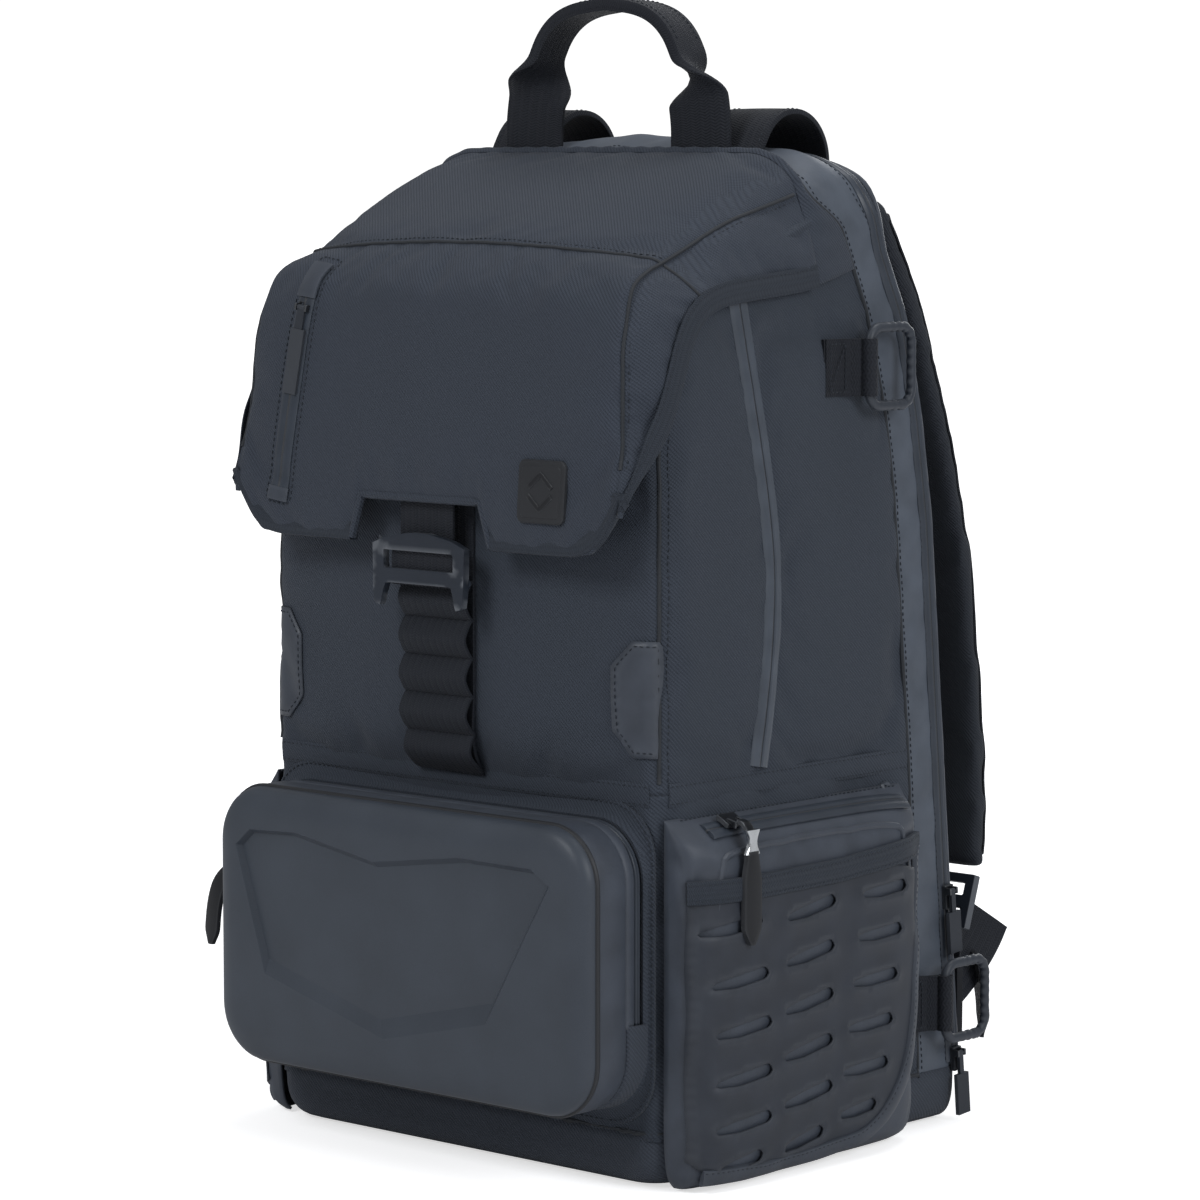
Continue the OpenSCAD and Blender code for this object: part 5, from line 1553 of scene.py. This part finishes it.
def soft_solid(name, node, material, body, pressure=4.0, cap=5.0, shrink=1.5, voxel=5.0):
    """A padded piece: the CAD solid remeshed, drawn in a little and inflated."""
    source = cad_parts[node]
    mesh = source.data.copy()
    piece = bpy.data.objects.new(name, mesh)
    bpy.context.scene.collection.objects.link(piece)
    mesh.name = name
    mesh.materials.clear()
    mesh.materials.append(material)
    piece.modifiers.new("Weld", "WELD").merge_threshold = 0.00002
    remesh = piece.modifiers.new("Remesh", "REMESH")
    remesh.mode = "VOXEL"
    remesh.voxel_size = voxel * MM
    shrinker = piece.modifiers.new("Shrink", "DISPLACE")
    shrinker.strength = -shrink * MM
    shrinker.mid_level = 0
    smooth = piece.modifiers.new("Relax", "SMOOTH")
    smooth.factor = 0.5
    smooth.iterations = 4
    bake(piece)
    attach(piece, body)
    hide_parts(node)
    cloth(piece, [], pressure, cap, 0.0, 0.8)
    return piece


pads = soft_solid("back_pad_cushions", "back_pads", AIR_MESH, "back_door", 3.0, 4.0, 2.2)
straps = {side: soft_solid(f"shoulder_strap_{side}_pad", f"shoulder_strap_{side}", STRAP_CLOTH, f"strap_{side}", 0.8, 1.5, 0.8)
          for side in ("right", "left")}
shelf = soft_solid("shelf_pad", "shelf", LINING, "bag", 3.0, 2.5, 1.2)
dividers = soft_solid("divider_pads", "padded_dividers", LINING, "bag", 3.0, 2.5, 1.2)
organiser = soft_solid("organiser_pad", "organiser_panel", LINING, "bag", 1.0, 1.0, 0.2, 2.5)
door = soft_solid("back_panel_pad", "back_panel", BACK_CLOTH, "back_door", 0.8, 1.5, 0.8, 6.0)
simulate()
for piece in (pads, *straps.values(), shelf, dividers, organiser, door):
    rounder = piece.modifiers.new("Smooth", "SUBSURF")
    rounder.levels = rounder.render_levels = 1
    bake(piece)
    piece.data.polygons.foreach_set("use_smooth", [True] * len(piece.data.polygons))
    piece.data.update()

strap_tree = tree_from(straps["right"])
bow_centre = np.array([-212.0, 250.0])
strap_low, strap_high = box("shoulder_strap_right")


def strap_middle(z):
    share = (strap_high[2] - z) / (strap_high[2] - strap_low[2])
    return 84 - 40 * share + 68 * share ** 2, 32 - 12 * share ** 2


strap_z = np.linspace(strap_high[2] - 8, strap_low[2] + 8, 90)
mid_line = np.array([(strap_middle(z)[0], 400, z) for z in strap_z])
web_path, web_normals = drape(strap_tree, mid_line, -FORWARD, 0.1)
for _ in range(4):
    web_path[1:-1] = (web_path[:-2] + web_path[1:-1] + web_path[2:]) / 3
web_part = sweep(web_path, web_normals, flat_profile(25, 1.4, 0.2))
edge_parts, lines = [web_part], []
for hand in (-1, 1):
    line = np.array([(strap_middle(z)[0] + hand * (strap_middle(z)[1] - 5), 400, z) for z in strap_z])
    line, line_normals = drape(strap_tree, line, -FORWARD, 0.1)
    edge_parts.append(sweep(line, line_normals, flat_profile(5.5, 0.9, 0.6)))
    lines.append((offset_path(web_path, web_normals, hand * 10.5), web_normals))
for side, turn in (("right", 1), ("left", -1)):
    body_name = f"strap_{side}"
    shapes = edge_parts if turn == 1 else [mirrored(p) for p in edge_parts]
    make(f"strap_webbing_{side}", shapes, WEBBING, body_name)
    for path, normals in lines:
        stitch(body_name, path * [turn, 1, 1], normals * [turn, 1, 1], lift=0.5)
    keep(f"strap_adjuster_{side}", HARD, 0.7)

for side, turn in (("right", 1), ("left", -1)):
    low, high = box(f"chest_strap_{side}")
    keep(f"chest_strap_{side}", WEBBING, 0.4)

TAIL_LOW, TAIL_HIGH = box("lower_webbing")
tail_spine = smooth_path([(119, 134, 66), (116, 150, 71), (114, 168, 82), (113.5, 179, 92), (113.5, 186, 102)], 2, 2)
tail_normals = np.broadcast_to(unit(np.array([1.0, -0.25, 0.1])), tail_spine.shape)
lower_parts = [sweep(tail_spine, tail_normals, flat_profile(30, 1.6, 0.2, 0.2))]
# The webbing's cut end hangs down beside it, seen edge-on from the front corner
end_spine = smooth_path([(116, 168, 84), (117, 173, 66), (118, 176, 50), (118, 174, 35)], 2, 2)
end_share = np.linspace(0, 1, len(end_spine))
lower_parts.append(sweep(end_spine, unit(np.array([0.62, 0.78, 0.05])), flat_profile(24, 1.7, 0.2, 0.2),
                         widths=1 - 0.8 * smoothstep(end_share, 0.72, 1.0)))
anchor = np.array([(x, 139.2, 62) for x in np.linspace(101, 131, 12)])
lower_parts.append(sweep(anchor, FORWARD, flat_profile(38, 1.8, 0.2, 3.0)))
run_up = smooth_path([(116, 141, 62), (112, 146, 78), (110.5, 150, 96), (111, 150.5, 108)], 2, 2)
lower_parts.append(sweep(run_up, FORWARD, flat_profile(25, 1.5, 0.1, 0.1)))
make("lower_strap_webbing", [s for p in lower_parts for s in both_sides(p)], WEBBING, "back_door", ["lower_webbing"])

# ---- cloth that crosses the joints ----

lid_rear = np.array([lid_sheet[LID_ROWS - 1][c] for c in range(LID_COLS)])


def gusset_edge(p):
    """The place on the gusset's front edge that a point of the lid's rear edge is sewn to."""
    x, _, z = p
    side = math.copysign(1, x) if abs(x) > 1e-6 else 1
    if abs(x) > 100 or z < 505:
        height = np.clip(z, 462, 503)
        if abs(x) > HALF_W - 4 and z < 500:
            low_share = (z - lid_rear[0][2]) / (500 - lid_rear[0][2])
            height = 465 + (503 - 465) * np.clip(low_share, 0, 1)
            return np.array([side * (HALF_W + 1.2), seam_y(height), height])
    angle = math.atan2(max(z - TOP_CORNER_Z, 0), max(abs(x) - (HALF_W - TOP_R), 1e-6))
    if abs(x) <= HALF_W - TOP_R:
        return np.array([x, ROOF_REAR + 0.5, GUSSET_TOP - 8.2])
    edge_x = HALF_W - TOP_R + TOP_R * math.cos(angle)
    edge_z = min(TOP_CORNER_Z + TOP_R * math.sin(angle), GUSSET_TOP - 8.2)
    return np.array([side * (edge_x + 0.8), ROOF_REAR + 0.5, edge_z])


sewn = np.array([gusset_edge(p) for p in lid_rear])
for _ in range(3):
    sewn[1:-1] = (sewn[:-2] + sewn[1:-1] * 2 + sewn[2:]) / 4
start_row = lid_rear + [0, -1.5, 0]
gore_rows = []
for t in np.linspace(0, 1, 12):
    row = start_row * (1 - t) + sewn * t
    bulge = math.sin(math.pi * t) * 1.6
    pucker = 0.7 * math.sin(math.pi * t) * np.sin(np.arange(len(row)) * 1.9)
    out = unit((row - [0, 0, 440]) * [1, 0.1, 1])
    gore_rows.append(row + out * (bulge + pucker)[:, None])
gore = make("lid_rear_cloth", outward(lattice(np.array(gore_rows)), (0, 0, 440)), LID_TWILL, None, (), True)
thicken(gore, 2.0, 1)
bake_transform(gore)

hem_y = zip_y(BASE_H) + 0.3
hem_rows = [[(x, y, z) for x in np.linspace(-126, 126, 60)] for y, z in
            ((hem_y - 3.5, 8), (hem_y - 1, 7), (hem_y + 1.2, 8.5), (hem_y + 2.6, 12), (hem_y + 3.6, 18))]
hem = make("back_hinge_cloth", outward(lattice(np.array(hem_rows)), (0, 60, 60)), BACK_CLOTH, None, (), True)
thicken(hem, 1.2, 1)
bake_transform(hem)

# ---- stage ----

for body_name, parts in stitching.items():
    make(f"stitches_{body_name}", parts, THREAD, body_name)

floor_mesh = bpy.data.meshes.new("floor")
floor_mesh.from_pydata([(-20, -20, 0), (20, -20, 0), (20, 20, 0), (-20, 20, 0)], [], [(0, 1, 2, 3)])
floor = bpy.data.objects.new("floor", floor_mesh)
bpy.context.scene.collection.objects.link(floor)
pale = Shader("pale_floor")
seen = pale.node("LightPath").outputs["Is Camera Ray"]
away = pale.node("VectorMath", {0: pale.node("TexCoord").outputs["Object"]}, operation="LENGTH").outputs["Value"]
glow = pale.node("MapRange", {"Value": away, "From Min": 0.7, "From Max": 2.6, "To Min": 0.62, "To Max": 1.1}).outputs["Result"]
shade = pale.node("BsdfPrincipled", {"Base Color": (0.86, 0.86, 0.87, 1), "Roughness": 0.85, "Specular IOR Level": 0.1,
                                     "Emission Color": (1, 1, 1, 1), "Emission Strength": pale.math("MULTIPLY", seen, glow)})
pale.put(pale.node("OutputMaterial").inputs[0], shade.outputs[0])
floor_mesh.materials.append(pale.material)

world = bpy.data.worlds.new("soft_studio")
bpy.context.scene.world = world
world.use_nodes = True
backdrop = world.node_tree.nodes["Background"]
backdrop.inputs[0].default_value = (1, 1, 1, 1)
# The camera sees a white backdrop; the light it gives the bag is softer than that
ray = world.node_tree.nodes.new("ShaderNodeLightPath")
strength = world.node_tree.nodes.new("ShaderNodeMapRange")
strength.inputs["To Min"].default_value = 0.30
strength.inputs["To Max"].default_value = 1.1
world.node_tree.links.new(ray.outputs["Is Camera Ray"], strength.inputs["Value"])
world.node_tree.links.new(strength.outputs["Result"], backdrop.inputs[1])


def area_light(name, place, target, size, power):
    light = bpy.data.lights.new(name, "AREA")
    light.shape = "DISK"
    light.size = size
    light.energy = power
    light.color = (0.955, 0.975, 1.0)
    lamp = bpy.data.objects.new(name, light)
    bpy.context.scene.collection.objects.link(lamp)
    lamp.location = place
    lamp.rotation_mode = "QUATERNION"
    lamp.rotation_quaternion = (Vector(target) - Vector(place)).to_track_quat("-Z", "Y")


MIDDLE = (0, 0, 0.28)
area_light("key", (-0.1, -2.1, 1.8), MIDDLE, 1.0, 24)
area_light("side", (2.4, -0.1, 1.4), MIDDLE, 1.2, 24)
area_light("top", (0.2, 0.5, 2.4), MIDDLE, 1.2, 15)
area_light("back", (-0.7, 2.3, 1.1), MIDDLE, 1.4, 12)

camera_data = bpy.data.cameras.new("camera")
camera_data.sensor_width = 36
camera_data.lens = 135.5
camera = bpy.data.objects.new("camera", camera_data)
bpy.context.scene.collection.objects.link(camera)
camera.location = (1.630, -1.802, 0.527)
camera.rotation_euler = (math.radians(90 - 5.7), 0, math.radians(42.3))
bpy.context.scene.camera = camera
bpy.context.scene.view_settings.view_transform = "Standard"
